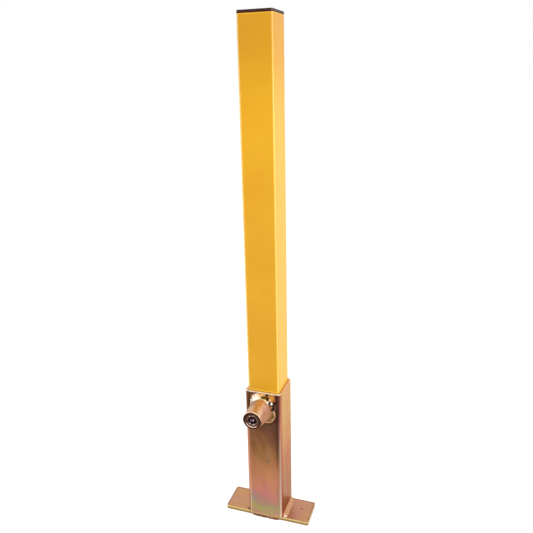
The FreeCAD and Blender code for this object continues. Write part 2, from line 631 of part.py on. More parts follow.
def pin_block():
    """Fixed rear block of the lock cylinder, with blind holes for the driver pins and springs."""
    body = new_body("pin_block")
    place_in_lock(body)
    ring = sketch_on(body, "XY_Plane", "block_section", SHEAR)
    circle(ring, "block_outside", f"{BLOCK_BORE} - sizes.running_gap")
    circle(ring, "block_inside", "sizes.spindle_radius + sizes.running_gap")
    pad(body, "block", ring, "sizes.block_length")
    hole = sketch_on(body, "XY_Plane", "spring_hole_outline", SHEAR)
    circle(hole, "spring_hole", "sizes.pin_radius + sizes.running_gap",
           x=f"sizes.pin_circle * cos({FIRST_PIN})", y=f"sizes.pin_circle * sin({FIRST_PIN})")
    first = pocket(body, "spring_hole", hole, "sizes.spring_hole_depth", flip=True)
    repeat_round(body, "spring_holes", first)
    pin_seat = sketch_on(body, "XZ_Plane", "block_pin_seat_outline",
                         f"{BLOCK_BORE} - sizes.running_gap - sizes.block_pin_bite")
    circle(pin_seat, "pin_seat", "sizes.block_pin / 2", y=f"{SHEAR} + sizes.block_length / 2")
    pocket(body, "block_pin_seat", pin_seat, flip=True)


def block_pin():
    """Cross pin that holds the pin block in the lock cylinder."""
    body = new_body("block_pin")
    place_in_lock(body)
    section = sketch_on(body, "XZ_Plane", "block_pin_section",
                        f"{BLOCK_BORE} - sizes.running_gap - sizes.block_pin_bite")
    circle(section, "block_pin", "sizes.block_pin / 2", y=f"{SHEAR} + sizes.block_length / 2")
    pad(body, "block_pin_length", section,
        f"sizes.barrel_radius - ({BLOCK_BORE} - sizes.running_gap - sizes.block_pin_bite) - sizes.fit_gap")


def driver_pins():
    """Driver pins behind the shear line, one behind each key pin."""
    body = new_body("driver_pins", compound=True)
    place_in_lock(body)
    section = sketch_on(body, "XY_Plane", "driver_section", SHEAR)
    circle(section, "driver", "sizes.pin_radius",
           x=f"sizes.pin_circle * cos({FIRST_PIN})", y=f"sizes.pin_circle * sin({FIRST_PIN})")
    repeat_round(body, "drivers", pad(body, "driver", section, "sizes.driver_length"))


def pin_springs():
    """Pin springs, each drawn as a sleeve of the coil's size, from the driver pin to the hole's end."""
    body = new_body("pin_springs", compound=True)
    place_in_lock(body)
    section = sketch_on(body, "XY_Plane", "spring_section", f"{SHEAR} + sizes.driver_length")
    place_x = f"sizes.pin_circle * cos({FIRST_PIN})"
    place_y = f"sizes.pin_circle * sin({FIRST_PIN})"
    circle(section, "coil_outside", "sizes.pin_radius", x=place_x, y=place_y)
    circle(section, "coil_inside", "sizes.pin_radius - sizes.spring_wall", x=place_x, y=place_y)
    repeat_round(body, "springs",
                 pad(body, "spring", section, "sizes.spring_hole_depth - sizes.driver_length"))


def plug_clip():
    """Open clip in the spindle's groove that keeps the plug in the lock cylinder."""
    body = new_body("plug_clip")
    place_in_lock(body)
    section = sketch_on(body, "XY_Plane", "clip_section", f"{BLOCK_BACK} + 2 * sizes.running_gap")
    circle(section, "clip_outside", "sizes.clip_radius")
    circle(section, "clip_inside", f"{GROOVE_FLOOR} + sizes.running_gap")
    pad(body, "clip_ring", section, "sizes.clip_thickness")
    mouth = sketch_on(body, "XY_Plane", "clip_mouth_outline", BLOCK_BACK)
    rectangle(mouth, "mouth", "-sizes.clip_mouth / 2", "0", "sizes.clip_mouth / 2", "sizes.drum_radius")
    pocket(body, "clip_mouth", mouth, flip=True)


def bolt_bush():
    """Bush behind the lock cylinder in which the bolt slides and turns."""
    body = new_body("bolt_bush")
    place_in_lock(body)
    ring = sketch_on(body, "XY_Plane", "bush_section", BARREL_BACK)
    circle(ring, "bush_outside", "sizes.barrel_radius")
    circle(ring, "bush_inside", "sizes.bolt_radius + sizes.running_gap")
    pad(body, "bush", ring, f"{BUSH_BACK} - {BARREL_BACK}")
    pin_way = sketch_on(body, "XZ_Plane", "guide_pin_way_outline")
    circle(pin_way, "pin_way", "sizes.guide_pin / 2", y=GUIDE_PLACE)
    pocket(body, "guide_pin_way", pin_way)


def guide_pin():
    """Pin pressed through the bush, whose tip rides in the bolt's spiral groove."""
    body = new_body("guide_pin")
    place_in_lock(body)
    section = sketch_on(body, "XZ_Plane", "guide_pin_section", f"-{GUIDE_TIP}")
    circle(section, "guide_pin", "sizes.guide_pin / 2", y=GUIDE_PLACE)
    pad(body, "guide_pin_length", section, f"sizes.barrel_radius - sizes.fit_gap - {GUIDE_TIP}", flip=True)


def barrel_screw():
    """Headless screw under the nose that holds the lock cylinder."""
    body = new_body("barrel_screw")
    place_in_lock(body)
    seat = "(sizes.barrel_radius - sizes.barrel_screw_bite)"
    section = sketch_on(body, "XZ_Plane", "screw_section", f"-{seat}")
    circle(section, "screw", "sizes.barrel_screw / 2", y="sizes.barrel_screw_place")
    pad(body, "screw_shank", section, "sizes.barrel_screw_length", flip=True)
    socket = sketch_on(body, "XZ_Plane", "hexagon_socket", f"-({seat} + sizes.barrel_screw_length)")
    corner = "sizes.barrel_screw_key / 2 / cos(30 deg)"
    polygon(socket, "hexagon", [
        (f"{corner} * cos({angle} deg)", f"sizes.barrel_screw_place + {corner} * sin({angle} deg)")
        for angle in range(15, 375, 60)])
    pocket(body, "hexagon", socket, "sizes.barrel_screw_length / 2", flip=True)


def lock_bolt():
    """Bolt with a slot for the plug's tail and a spiral groove that drives it along as it turns."""
    body = new_body("lock_bolt")
    place_in_lock(body)
    section = sketch_on(body, "XY_Plane", "bolt_section", BOLT_REAR)
    circle(section, "bolt", "sizes.bolt_radius")
    pad(body, "bolt_bar", section, f"{BOLT_TIP} - {BOLT_REAR}")
    tip = value(BOLT_TIP)
    dress_edges(body, "Chamfer", "bolt_nose", "sizes.bolt_chamfer", lambda edge: lies_at(edge, "Z", tip))
    slot = sketch_on(body, "XY_Plane", "slot_outline", BOLT_REAR)
    half_width = "(sizes.tang_width / 2 + sizes.tang_gap)"
    half_depth = "(sizes.tang_thickness / 2 + sizes.tang_gap)"
    rectangle(slot, "slot", f"-{half_width}", f"-{half_depth}", half_width, half_depth)
    pocket(body, "slot", slot, f"{TANG_END} + sizes.slot_clearance - {BOLT_REAR}", flip=True)

    floor = "(sizes.bolt_radius - sizes.groove_depth)"
    radius = "sizes.guide_pin / 2 + sizes.groove_gap"
    near_end = sketch_on(body, "XZ_Plane", "groove_front_end_outline", f"-{floor}")
    circle(near_end, "front_end", radius, y=GUIDE_PLACE)
    pocket(body, "groove_front_end", near_end)
    far_end = sketch_on(body, "XZ_Plane", "groove_back_end_outline", floor)
    circle(far_end, "back_end", radius, y=f"{GUIDE_PLACE} - sizes.bolt_travel")
    pocket(body, "groove_back_end", far_end, flip=True)

    pitch = "2 * sizes.bolt_travel"
    lead = f"atan2(({pitch}) / (2 * pi); {floor})"
    half_mouth = f"(({radius}) / cos({lead}))"
    middle = f"({GUIDE_PLACE} - sizes.bolt_travel)"
    before = body.Shape.Volume
    profile = sketch_on(body, "YZ_Plane", "groove_profile")
    rectangle(profile, "groove", "-sizes.bolt_radius - sizes.groove_depth", f"{middle} - {half_mouth}",
              f"-{floor}", f"{middle} + {half_mouth}")
    groove = body.newObject("PartDesign::SubtractiveHelix", "spiral_groove")
    groove.Profile = profile
    groove.ReferenceAxis = (profile, ["V_Axis"])
    groove.Mode = "pitch-height-angle"
    groove.setExpression("Pitch", pitch)
    groove.setExpression("Height", "sizes.bolt_travel")
    doc.recompute()
    if not body.Shape.Volume < before:
        raise RuntimeError("lock_bolt: the spiral groove cuts nothing")


def post_tube():
    """Square steel tube of the post, with a hole for the bolt in its front wall."""
    body = new_body("post_tube")
    place(body, z=POST_FOOT)
    section = sketch_on(body, "XY_Plane", "post_section")
    rounded_square(section, "outside", "sizes.post_width", "sizes.post_width", "sizes.post_corner")
    rounded_square(section, "inside", POST_INSIDE, POST_INSIDE, "sizes.post_corner - sizes.post_wall")
    pad(body, "post_length", section, f"sizes.post_height - sizes.cap_thickness - {POST_FOOT}")
    hole = sketch_on(body, "XZ_Plane", "post_bolt_hole_outline")
    circle(hole, "bolt_hole", "sizes.bolt_radius + sizes.post_hole_gap", y=f"{LOCK_HEIGHT} - {POST_FOOT}")
    pocket(body, "post_bolt_hole", hole, flip=True)


def post_cap():
    """Moulded end cap with a skirt and gripping fins inside the tube."""
    body = new_body("post_cap")
    place(body, z="sizes.post_height - sizes.cap_thickness")
    head_width = "sizes.post_width + 2 * sizes.cap_overhang"
    head = sketch_on(body, "XY_Plane", "head_outline")
    rounded_square(head, "head", head_width, head_width, "sizes.post_corner + sizes.cap_overhang")
    pad(body, "head", head, "sizes.cap_thickness")
    top = value("sizes.cap_thickness")
    dress_edges(body, "Fillet", "head_rounding", "sizes.cap_edge", lambda edge: lies_at(edge, "Z", top))
    fin_width = f"({POST_INSIDE} - 2 * sizes.fit_gap)"
    fin_corner = "(sizes.post_corner - sizes.post_wall - sizes.fit_gap)"
    skirt_width = f"({fin_width} - 2 * sizes.cap_fin_depth)"
    skirt_inside = f"({skirt_width} - 2 * sizes.cap_skirt_wall)"
    skirt = sketch_on(body, "XY_Plane", "skirt_section")
    rounded_square(skirt, "skirt_outside", skirt_width, skirt_width, "sizes.cap_skirt_wall")
    rounded_square(skirt, "skirt_inside", skirt_inside, skirt_inside, "sizes.cap_skirt_wall / 2")
    pad(body, "skirt", skirt, "sizes.cap_skirt", flip=True)
    fin = sketch_on(body, "XY_Plane", "fin_section", "-sizes.cap_fin_pitch + sizes.cap_fin")
    rounded_square(fin, "fin_outside", fin_width, fin_width, fin_corner)
    rounded_square(fin, "fin_inside", f"{skirt_width} - sizes.cap_skirt_wall",
                   f"{skirt_width} - sizes.cap_skirt_wall", "sizes.cap_skirt_wall")
    first = pad(body, "fin", fin, "sizes.cap_fin", flip=True)
    fins = body.newObject("PartDesign::LinearPattern", "fins")
    fins.Originals = [first]
    fins.Direction = (next(f for f in body.Origin.OriginFeatures if f.Role == "Z_Axis"), [""])
    fins.Reversed = True
    fins.Mode = "Spacing"
    fins.setExpression("Offset", "sizes.cap_fin_pitch")
    fins.setExpression("Occurrences", "sizes.cap_fin_count")
    body.Tip = fins
    doc.recompute()


foot_plate()
socket_tube()
side_weld("foot_weld_right", 0)
side_weld("foot_weld_left", 180)
under_weld("foot_weld_back", 0)
under_weld("foot_weld_front", 180)
rest_pin()
housing_weld(lock_housing())
lock_barrel()
pin_block()
block_pin()
driver_pins()
pin_springs()
barrel_screw()
bolt_bush()
guide_pin()
lock_plug()
key_pins()
plug_clip()
lock_bolt()
post_tube()
post_cap()
doc.recompute()

for thing in doc.Objects:
    if "Invalid" in thing.State or "Error" in thing.State:
        raise RuntimeError(f"{thing.Label} failed: {thing.State}")
for node in nodes:
    if node.Shape.isNull() or not node.Shape.isValid():
        raise RuntimeError(f"{node.Label} has no sound shape")

os.makedirs("parts", exist_ok=True)
for node in nodes:
    node.Shape.exportStep(f"parts/{node.Label}.step")
    box = node.Shape.BoundBox
    print(f"{node.Label:18s} solids {len(node.Shape.Solids)}  volume {node.Shape.Volume:10.1f}"
          f"  x {box.XMin:7.2f} {box.XMax:7.2f}  y {box.YMin:7.2f} {box.YMax:7.2f}"
          f"  z {box.ZMin:7.2f} {box.ZMax:7.2f}")
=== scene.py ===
"""Removable bollard: finishes, weld beads, lock springs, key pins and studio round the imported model.

Lengths are in metres. +Z is up, -Y faces the lock and +X runs along the foot plate.
"""

import logging
import math
from collections.abc import Callable, Mapping, Sequence
from dataclasses import dataclass
from enum import Enum
from functools import reduce

import bpy
import numpy as np
from mathutils import Matrix, Vector


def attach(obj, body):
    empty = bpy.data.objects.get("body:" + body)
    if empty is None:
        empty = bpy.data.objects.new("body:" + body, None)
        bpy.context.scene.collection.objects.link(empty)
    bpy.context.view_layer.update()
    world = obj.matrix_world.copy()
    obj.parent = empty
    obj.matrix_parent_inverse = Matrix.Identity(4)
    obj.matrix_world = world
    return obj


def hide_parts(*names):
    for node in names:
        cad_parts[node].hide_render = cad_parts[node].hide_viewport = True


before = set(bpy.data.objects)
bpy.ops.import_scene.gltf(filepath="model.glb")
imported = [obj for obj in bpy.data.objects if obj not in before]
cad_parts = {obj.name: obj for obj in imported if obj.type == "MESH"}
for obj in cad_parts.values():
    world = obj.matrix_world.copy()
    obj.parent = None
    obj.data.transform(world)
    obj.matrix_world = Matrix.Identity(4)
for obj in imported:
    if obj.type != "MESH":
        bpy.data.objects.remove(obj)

LOG = logging.getLogger("bollard")
MM = 0.001
LOCK_AXIS = 256.5 * MM
POST_HALF = 30 * MM
POST_CORNER = 4.5 * MM
RIM = 280 * MM
PLATE_TOP = 8 * MM
Colour = tuple[float, float, float, float]
Stop = tuple[float, Colour]
Socket = bpy.types.NodeSocket


def srgb(red: int, green: int, blue: int) -> Colour:
    """Turn a display colour into the linear colour that a shader takes.

    Args:
        red: Red, 0 to 255.
        green: Green, 0 to 255.
        blue: Blue, 0 to 255.

    Returns:
        Linear red, green, blue and full alpha.
    """
    def linear(value: int) -> float:
        """Decode one channel."""
        share = value / 255
        return share / 12.92 if share <= 0.04045 else ((share + 0.055) / 1.055) ** 2.4

    return linear(red), linear(green), linear(blue), 1.0


class Body(Enum):
    """The moving groups that new pieces ride on."""

    BASE = "base"
    PLUG = "lock_plug"


class Slot(Enum):
    """Material slot names for the new pieces."""

    WELD = "weld_metal"
    BRASS = "lock_brass"
    STEEL = "plain_steel"


def bands(*rows: tuple[float, int, int, int]) -> tuple[Stop, ...]:
    """Turn rows of a place and a display colour into the stops of a ramp."""
    return tuple((spot, srgb(*colour)) for spot, *colour in rows)


@dataclass
class NodeDesk:
    """Adds and joins the nodes of one tree, for shaders and for geometry."""

    tree: bpy.types.NodeTree

    def add(self, kind: str, inputs: Mapping[str, object] | None = None, **settings: object) -> bpy.types.Node:
        """Add a node.

        Args:
            kind: The node's type name.
            inputs: What its inputs take, by name.
            settings: Properties to set on it first.

        Returns:
            The new node.
        """
        node = self.tree.nodes.new(kind)
        for name, value in settings.items():
            setattr(node, name, value)
        for name, value in (inputs or {}).items():
            self.feed(node.inputs[name], value)
        return node

    def shape(self, kind: str, inputs: Mapping[str, object]) -> Socket:
        """Add a geometry node and return its first output."""
        return self.add(kind, inputs).outputs[0]

    def feed(self, target: Socket, value: object) -> None:
        """Join an input to another node's output, or set its value."""
        if isinstance(value, bpy.types.NodeSocket):
            self.tree.links.new(value, target)
        else:
            target.default_value = value

    def maths(self, operation: str, *values: object) -> Socket:
        """Work out a number.

        Args:
            operation: The math node's operation.
            values: Its inputs, outputs of other nodes or numbers.

        Returns:
            The result.
        """
        node = self.add("ShaderNodeMath", operation=operation)
        for target, value in zip(node.inputs, values):
            self.feed(target, value)
        return node.outputs[0]

    def times(self, *values: object) -> object:
        """Multiply numbers, from the first on."""
        return reduce(lambda product, value: self.maths("MULTIPLY", product, value), values)

    def plus(self, first: object, second: object) -> Socket:
        """Add two numbers."""
        return self.maths("ADD", first, second)

    def minus(self, first: object, second: object) -> Socket:
        """Take the second number from the first."""
        return self.maths("SUBTRACT", first, second)

    def scaled(self, value: object, factor: object, shift: object) -> Socket:
        """Multiply a number and add a shift."""
        return self.maths("MULTIPLY_ADD", value, factor, shift)

    def larger(self, first: object, second: object) -> Socket:
        """Return the larger of two numbers."""
        return self.maths("MAXIMUM", first, second)

    def hypotenuse(self, first: object, second: object) -> Socket:
        """Return the distance that two distances at a right angle make."""
        return self.maths("SQRT", self.plus(self.maths("POWER", first, 2.0), self.maths("POWER", second, 2.0)))

    def rise(self, value: object, low: float, high: float) -> Socket:
        """Map a number to 0 at the low end of a range and 1 at the high end, smoothly and clamped."""
        inputs = {"Value": value, "From Min": low, "From Max": high}
        return self.add("ShaderNodeMapRange", inputs, interpolation_type="SMOOTHSTEP").outputs["Result"]

    def fall(self, value: object, low: float, high: float) -> Socket:
        """Map a number to 1 at the low end of a range and 0 at the high end, smoothly and clamped."""
        return self.minus(1.0, self.rise(value, low, high))

    def band(self, value: object, low: float, high: float, soft: float) -> Socket:
        """Mark the values between two ends, each faded over a half width, with 1 between them and 0 outside."""
        return self.times(self.rise(value, low - soft, low + soft), self.fall(value, high - soft, high + soft))

    def parts(self, vector: Socket) -> tuple[Socket, Socket, Socket]:
        """Split a vector into its three numbers."""
        outputs = self.add("ShaderNodeSeparateXYZ", {"Vector": vector}).outputs
        return outputs[0], outputs[1], outputs[2]

    def vector(self, x: object, y: object, z: object) -> Socket:
        """Put three numbers together as a vector."""
        return self.add("ShaderNodeCombineXYZ", {"X": x, "Y": y, "Z": z}).outputs[0]

    def place(self) -> Socket:
        """Where a point lies on the piece, in metres."""
        return self.add("ShaderNodeTexCoord").outputs["Object"]

    def mapping(self, vector: Socket, **inputs: object) -> Socket:
        """Turn, scale and shift a pattern's coordinates."""
        return self.add("ShaderNodeMapping", {"Vector": vector, **inputs}).outputs[0]

    def stretch(self, vector: Socket, scale: Sequence[float],
                turn: Sequence[float] = (0.0, 0.0, 0.0)) -> Socket:
        """Turn a pattern's coordinates, in degrees, and then scale them along each axis."""
        return self.mapping(self.mapping(vector, Rotation=[math.radians(angle) for angle in turn]), Scale=scale)

    def noise(self, vector: Socket, scale: object, detail: float = 2.0, rough: float = 0.5) -> Socket:
        """Add a noise pattern.

        Args:
            vector: Where to read it.
            scale: Waves per metre.
            detail: Octaves.
            rough: How strong the finer octaves are.

        Returns:
            The pattern, about 0 to 1.
        """
        inputs = {"Vector": vector, "Scale": scale, "Detail": detail, "Roughness": rough}
        return self.add("ShaderNodeTexNoise", inputs).outputs["Fac"]

    def ramp(self, factor: Socket, stops: Sequence[Stop]) -> Socket:
        """Turn a number into a colour.

        Args:
            factor: The number, 0 to 1.
            stops: Places and linear colours, in order.

        Returns:
            The colour.
        """
        node = self.add("ShaderNodeValToRGB")
        elements = node.color_ramp.elements
        for index, (spot, colour) in enumerate(stops):
            element = elements[index] if index < 2 else elements.new(spot)
            element.position, element.color = spot, colour
        self.feed(node.inputs[0], factor)
        return node.outputs["Color"]

    def mix(self, factor: object, first: object, second: object) -> Socket:
        """Mix two colours, the factor being the second one's share."""
        node = self.add("ShaderNodeMix", data_type="RGBA")
        for index, value in ((0, factor), (6, first), (7, second)):
            self.feed(node.inputs[index], value)
        return node.outputs[2]

    def lay(self, colour: object, tone: object, *masks: object) -> Socket:
        """Lay a tone over a colour, as far as the product of its masks says."""
        return self.mix(self.times(*masks), colour, tone)

    def layers(self, colour: object, *layers: Sequence[object]) -> object:
        """Lay tones over a colour in turn, each given with its masks."""
        return reduce(lambda under, layer: self.lay(under, *layer), layers, colour)

    def bump(self, height: Socket, depth: float, before: Socket | None = None) -> Socket:
        """Turn a height pattern into a normal.

        Args:
            height: The pattern, 0 to 1.
            depth: Height in metres of a full step.
            before: A normal that this one adds to.

        Returns:
            The normal.
        """
        inputs = {"Height": height, "Distance": depth, **({} if before is None else {"Normal": before})}
        return self.add("ShaderNodeBump", inputs).outputs["Normal"]


Wiring = Callable[[NodeDesk, Mapping[str, Socket]], dict[str, Socket]]


@dataclass(frozen=True)
class Effect:
    """A pattern that several finishes share, built once as a shader node group.

    Attributes:
        name: The group's name.
        inputs: Name, socket type and default of each input.
        outputs: Name and socket type of each output.
        wiring: Makes the group's nodes and returns what each output takes.
    """

    name: str
    inputs: tuple[tuple[str, str, object], ...]
    outputs: tuple[tuple[str, str], ...]
    wiring: Wiring

    def tree(self) -> bpy.types.NodeTree:
        """Build the group, or find it if it is there."""
        found = bpy.data.node_groups.get(self.name)
        if found is not None:
            return found
        tree = bpy.data.node_groups.new(self.name, "ShaderNodeTree")
        for name, kind, default in self.inputs:
            socket = tree.interface.new_socket(name, in_out="INPUT", socket_type=kind)
            if default is not None:
                socket.default_value = default
        for name, kind in self.outputs:
            tree.interface.new_socket(name, in_out="OUTPUT", socket_type=kind)
        desk = NodeDesk(tree)
        desk.add("NodeGroupOutput", self.wiring(desk, desk.add("NodeGroupInput").outputs))
        return tree

    def place(self, desk: NodeDesk, **values: object) -> Mapping[str, Socket]:
        """Put the group in a material and return its outputs."""
        return desk.add("ShaderNodeGroup", values, node_tree=self.tree()).outputs


FLOAT, VECTOR = "NodeSocketFloat", "NodeSocketVector"


def _drift(desk: NodeDesk, entry: Mapping[str, Socket]) -> dict[str, Socket]:
    """Wire slow clouds with a finer mottle."""
    slow = desk.noise(entry["place"], entry["scale"], 2.0, 0.45)
    fine = desk.noise(entry["place"], desk.times(entry["scale"], 4.3), 3.0, 0.6)
    return {"cloud": desk.rise(slow, 0.3, 0.7), "mottle": desk.rise(fine, 0.28, 0.72)}


def _streaks(desk: NodeDesk, entry: Mapping[str, Socket]) -> dict[str, Socket]:
    """Wire broad and hair-fine lines along the axis that the place is drawn out on."""
    broad = desk.noise(entry["place"], entry["scale"], 3.0, 0.6)
    hair = desk.noise(entry["place"], desk.times(entry["scale"], 9.0), 2.0, 0.7)
    return {"band": desk.rise(broad, 0.3, 0.7), "hair": desk.rise(hair, 0.25, 0.75)}


def _specks(desk: NodeDesk, entry: Mapping[str, Socket]) -> dict[str, Socket]:
    """Wire small scattered marks, more of them inside slow patches."""
    marks = desk.noise(entry["place"], entry["scale"], 2.0, 0.55)
    patch = desk.noise(entry["place"], desk.times(entry["scale"], 0.13), 1.0, 0.5)
    together = desk.plus(marks, desk.times(patch, 0.25))
    return {"mask": desk.rise(together, 0.83, 0.9)}


def _rings(desk: NodeDesk, entry: Mapping[str, Socket]) -> dict[str, Socket]:
    """Wire the fine rings that turning leaves round an axis along Y."""
    x, _, z = desk.parts(entry["place"])
    radius = desk.hypotenuse(x, z)
    uneven = desk.noise(desk.vector(radius, 0.0, 0.0), 2600.0, 2.0, 0.6)
    wave = desk.maths("SINE", desk.times(radius, entry["pitch"]))
    height = desk.scaled(wave, 0.25, uneven)
    return {"height": height, "radius": radius}


def _corners(desk: NodeDesk, entry: Mapping[str, Socket]) -> dict[str, Socket]:
    """Wire how far round an upright corner a point is, 0 on the front and back and 1 on the sides."""
    x, y, _ = desk.parts(entry["place"])
    flat = desk.minus(entry["half"], entry["corner"])
    beside = desk.larger(desk.minus(desk.maths("ABSOLUTE", x), flat), 0.001 * MM)
    before = desk.minus(desk.times(y, -1.0), flat)
    behind = desk.minus(y, flat)
    turns = {}
    for name, ahead in (("front", before), ("any", desk.larger(before, behind))):
        ahead = desk.larger(ahead, 0.0)
        turns[name] = desk.maths("DIVIDE", desk.maths("ARCTAN2", beside, ahead), math.pi / 2)
    return turns


DRIFT = Effect("chromate_drift", (("place", VECTOR, None), ("scale", FLOAT, 20.0)),
               (("cloud", FLOAT), ("mottle", FLOAT)), _drift)
STREAKS = Effect("drawn_streaks", (("place", VECTOR, None), ("scale", FLOAT, 200.0)),
                 (("band", FLOAT), ("hair", FLOAT)), _streaks)
SPECKS = Effect("handling_specks", (("place", VECTOR, None), ("scale", FLOAT, 400.0)),
                (("mask", FLOAT),), _specks)
CORNERS = Effect("round_corners", (("place", VECTOR, None), ("half", FLOAT, 0.03), ("corner", FLOAT, 0.005)),
                 (("front", FLOAT), ("any", FLOAT)), _corners)
RINGS = Effect("turned_rings", (("place", VECTOR, None), ("pitch", FLOAT, 9000.0)),
               (("height", FLOAT), ("radius", FLOAT)), _rings)


@dataclass(frozen=True)
class Finish:
    """A surface finish that becomes one material.

    Attributes:
        name: The material's name.
        roughness: Mean roughness.
        metallic: 1 for bare or plated metal, 0 for paint and plastic.
    """

    name: str
    roughness: float
    metallic: float = 1.0

    def material(self) -> bpy.types.Material:
        """Make the material, or find it if it is there."""
        found = bpy.data.materials.get(self.name)
        if found is not None:
            return found
        made = bpy.data.materials.new(self.name)
        made.use_nodes = True
        desk = NodeDesk(made.node_tree)
        shader = made.node_tree.nodes["Principled BSDF"]
        shader.inputs["Metallic"].default_value = self.metallic
        shader.inputs["Roughness"].default_value = self.roughness
        for name, value in self.looks(desk, desk.place()).items():
            desk.feed(shader.inputs[name], value)
        return made

    def looks(self, desk: NodeDesk, place: Socket) -> dict[str, object]:
        """Return what the shader's inputs take: the finish's colour, gloss and relief."""
        raise NotImplementedError

    def gloss(self, desk: NodeDesk, pattern: Socket, swing: float) -> Socket:
        """Return a roughness that follows a pattern, with a given difference between its ends."""
        return desk.scaled(pattern, swing, self.roughness - swing / 2)


@dataclass(frozen=True)
class PowderCoat(Finish):
    """Sprayed and baked yellow coat with an orange-peel skin.

    Attributes:
        colour: The coat.
        deep: The coat where it lies thick.
        shade: Painted shade towards the top.
        corner_highlight: Painted highlight on the rounded corners.
        beside: The coat on the sides, lower down, painted paler as a sheen.
        grime: Fine dirt in the skin.
        reflected_light: Painted reflection of the socket's rim on the coat just above it, and a painted pale
            line under the cap.
        rim: Height of the socket's rim.
        half: Half the post's width.
        corner: Outside radius of its corners.
        top: Height of the post's tube.
        peel: Waves per metre of the skin.
        peel_depth: Height of the skin's waves.
    """

    colour: Colour = srgb(220, 161, 18)
    deep: Colour = srgb(214, 152, 14)
    shade: Colour = srgb(172, 116, 20)
    corner_highlight: Colour = srgb(250, 216, 124)
    beside: Colour = srgb(222, 173, 58)
    grime: Colour = srgb(150, 100, 30)
    reflected_light: Colour = srgb(255, 200, 60)
    rim: float = RIM
    half: float = POST_HALF
    corner: float = POST_CORNER
    top: float = 925 * MM
    peel: float = 620.0
    peel_depth: float = 0.00006

    def looks(self, desk: NodeDesk, place: Socket) -> dict[str, object]:
        """Add slow drift, painted sheen on the sides, painted highlights on the corners, painted reflections
        above the rim and under the cap, specks, painted shade towards the top and the skin.
        """
        x, _, z = desk.parts(place)
        drift = DRIFT.place(desk, place=place, scale=9.0)
        corner = CORNERS.place(desk, place=place, half=self.half, corner=self.corner)["any"]
        # Painted reflection: a pale band just above the socket's rim and a fainter line under the cap.
        painted_glint = desk.larger(desk.band(z, self.rim + 0.8 * MM, self.rim + 3.4 * MM, 0.5 * MM),
                          desk.times(desk.rise(z, self.top - 2.4 * MM, self.top - 1.4 * MM), 0.5))
        colour = desk.layers(
            desk.mix(drift["cloud"], self.colour, self.deep),
            # Painted sheen: the sides paler lower down.
            (self.beside, desk.rise(corner, 0.8, 1.0), desk.fall(z, 720 * MM, 880 * MM), 0.78),
            # Painted highlights on the rounded corners: a strip on the left ones and a line on all of them.
            (self.corner_highlight, desk.band(corner, 0.1, 0.4, 0.08), desk.fall(x, -1 * MM, 1 * MM), 0.5),
            (self.corner_highlight, desk.band(corner, 0.3, 0.66, 0.17), 0.66),
            (self.grime, SPECKS.place(desk, place=place, scale=900.0)["mask"], 0.3),
            # Painted shade towards the top.
            (self.shade, desk.rise(z, 760 * MM, 900 * MM), 0.42),
            (self.reflected_light, painted_glint, 0.6))
        skin = desk.noise(place, self.peel, 2.0, 0.45)
        return {"Base Color": colour, "Specular IOR Level": 0.38, "Normal": desk.bump(skin, self.peel_depth),
                "Roughness": self.gloss(desk, drift["mottle"], 0.06)}


@dataclass(frozen=True)
class Passivated(Finish):
    """Zinc plate with a yellow passivation that shifts from gold to rose and olive.

    Attributes:
        draw: Scale of the pattern along each axis, smallest along the rolling direction.
        lines: How clearly the rolling lines show.
        relief: Height of the rolled surface's lines.
    """

    draw: tuple[float, float, float] = (1.0, 1.0, 0.06)
    lines: float = 0.24
    relief: float = 0.000012

    def tint(self, desk: NodeDesk, place: Socket) -> Socket:
        """Return the colour over the piece."""
        raise NotImplementedError

    def looks(self, desk: NodeDesk, place: Socket) -> dict[str, object]:
        """Add the colour, the rolled lines, and dull specks where the plate is touched."""
        streaks = STREAKS.place(desk, place=desk.stretch(place, self.draw), scale=160.0)
        colour = self.tint(desk, place)
        pale = desk.mix(0.16, colour, srgb(236, 222, 200))
        dark = desk.mix(0.16, colour, srgb(70, 45, 35))
        specks = SPECKS.place(desk, place=place, scale=520.0)
        colour = desk.layers(colour, (desk.mix(streaks["band"], dark, pale), self.lines),
                             (srgb(112, 78, 58), specks["mask"], 0.3))
        return {"Base Color": colour, "Roughness": self.gloss(desk, streaks["band"], 0.06),
                "Normal": desk.bump(streaks["hair"], self.relief)}


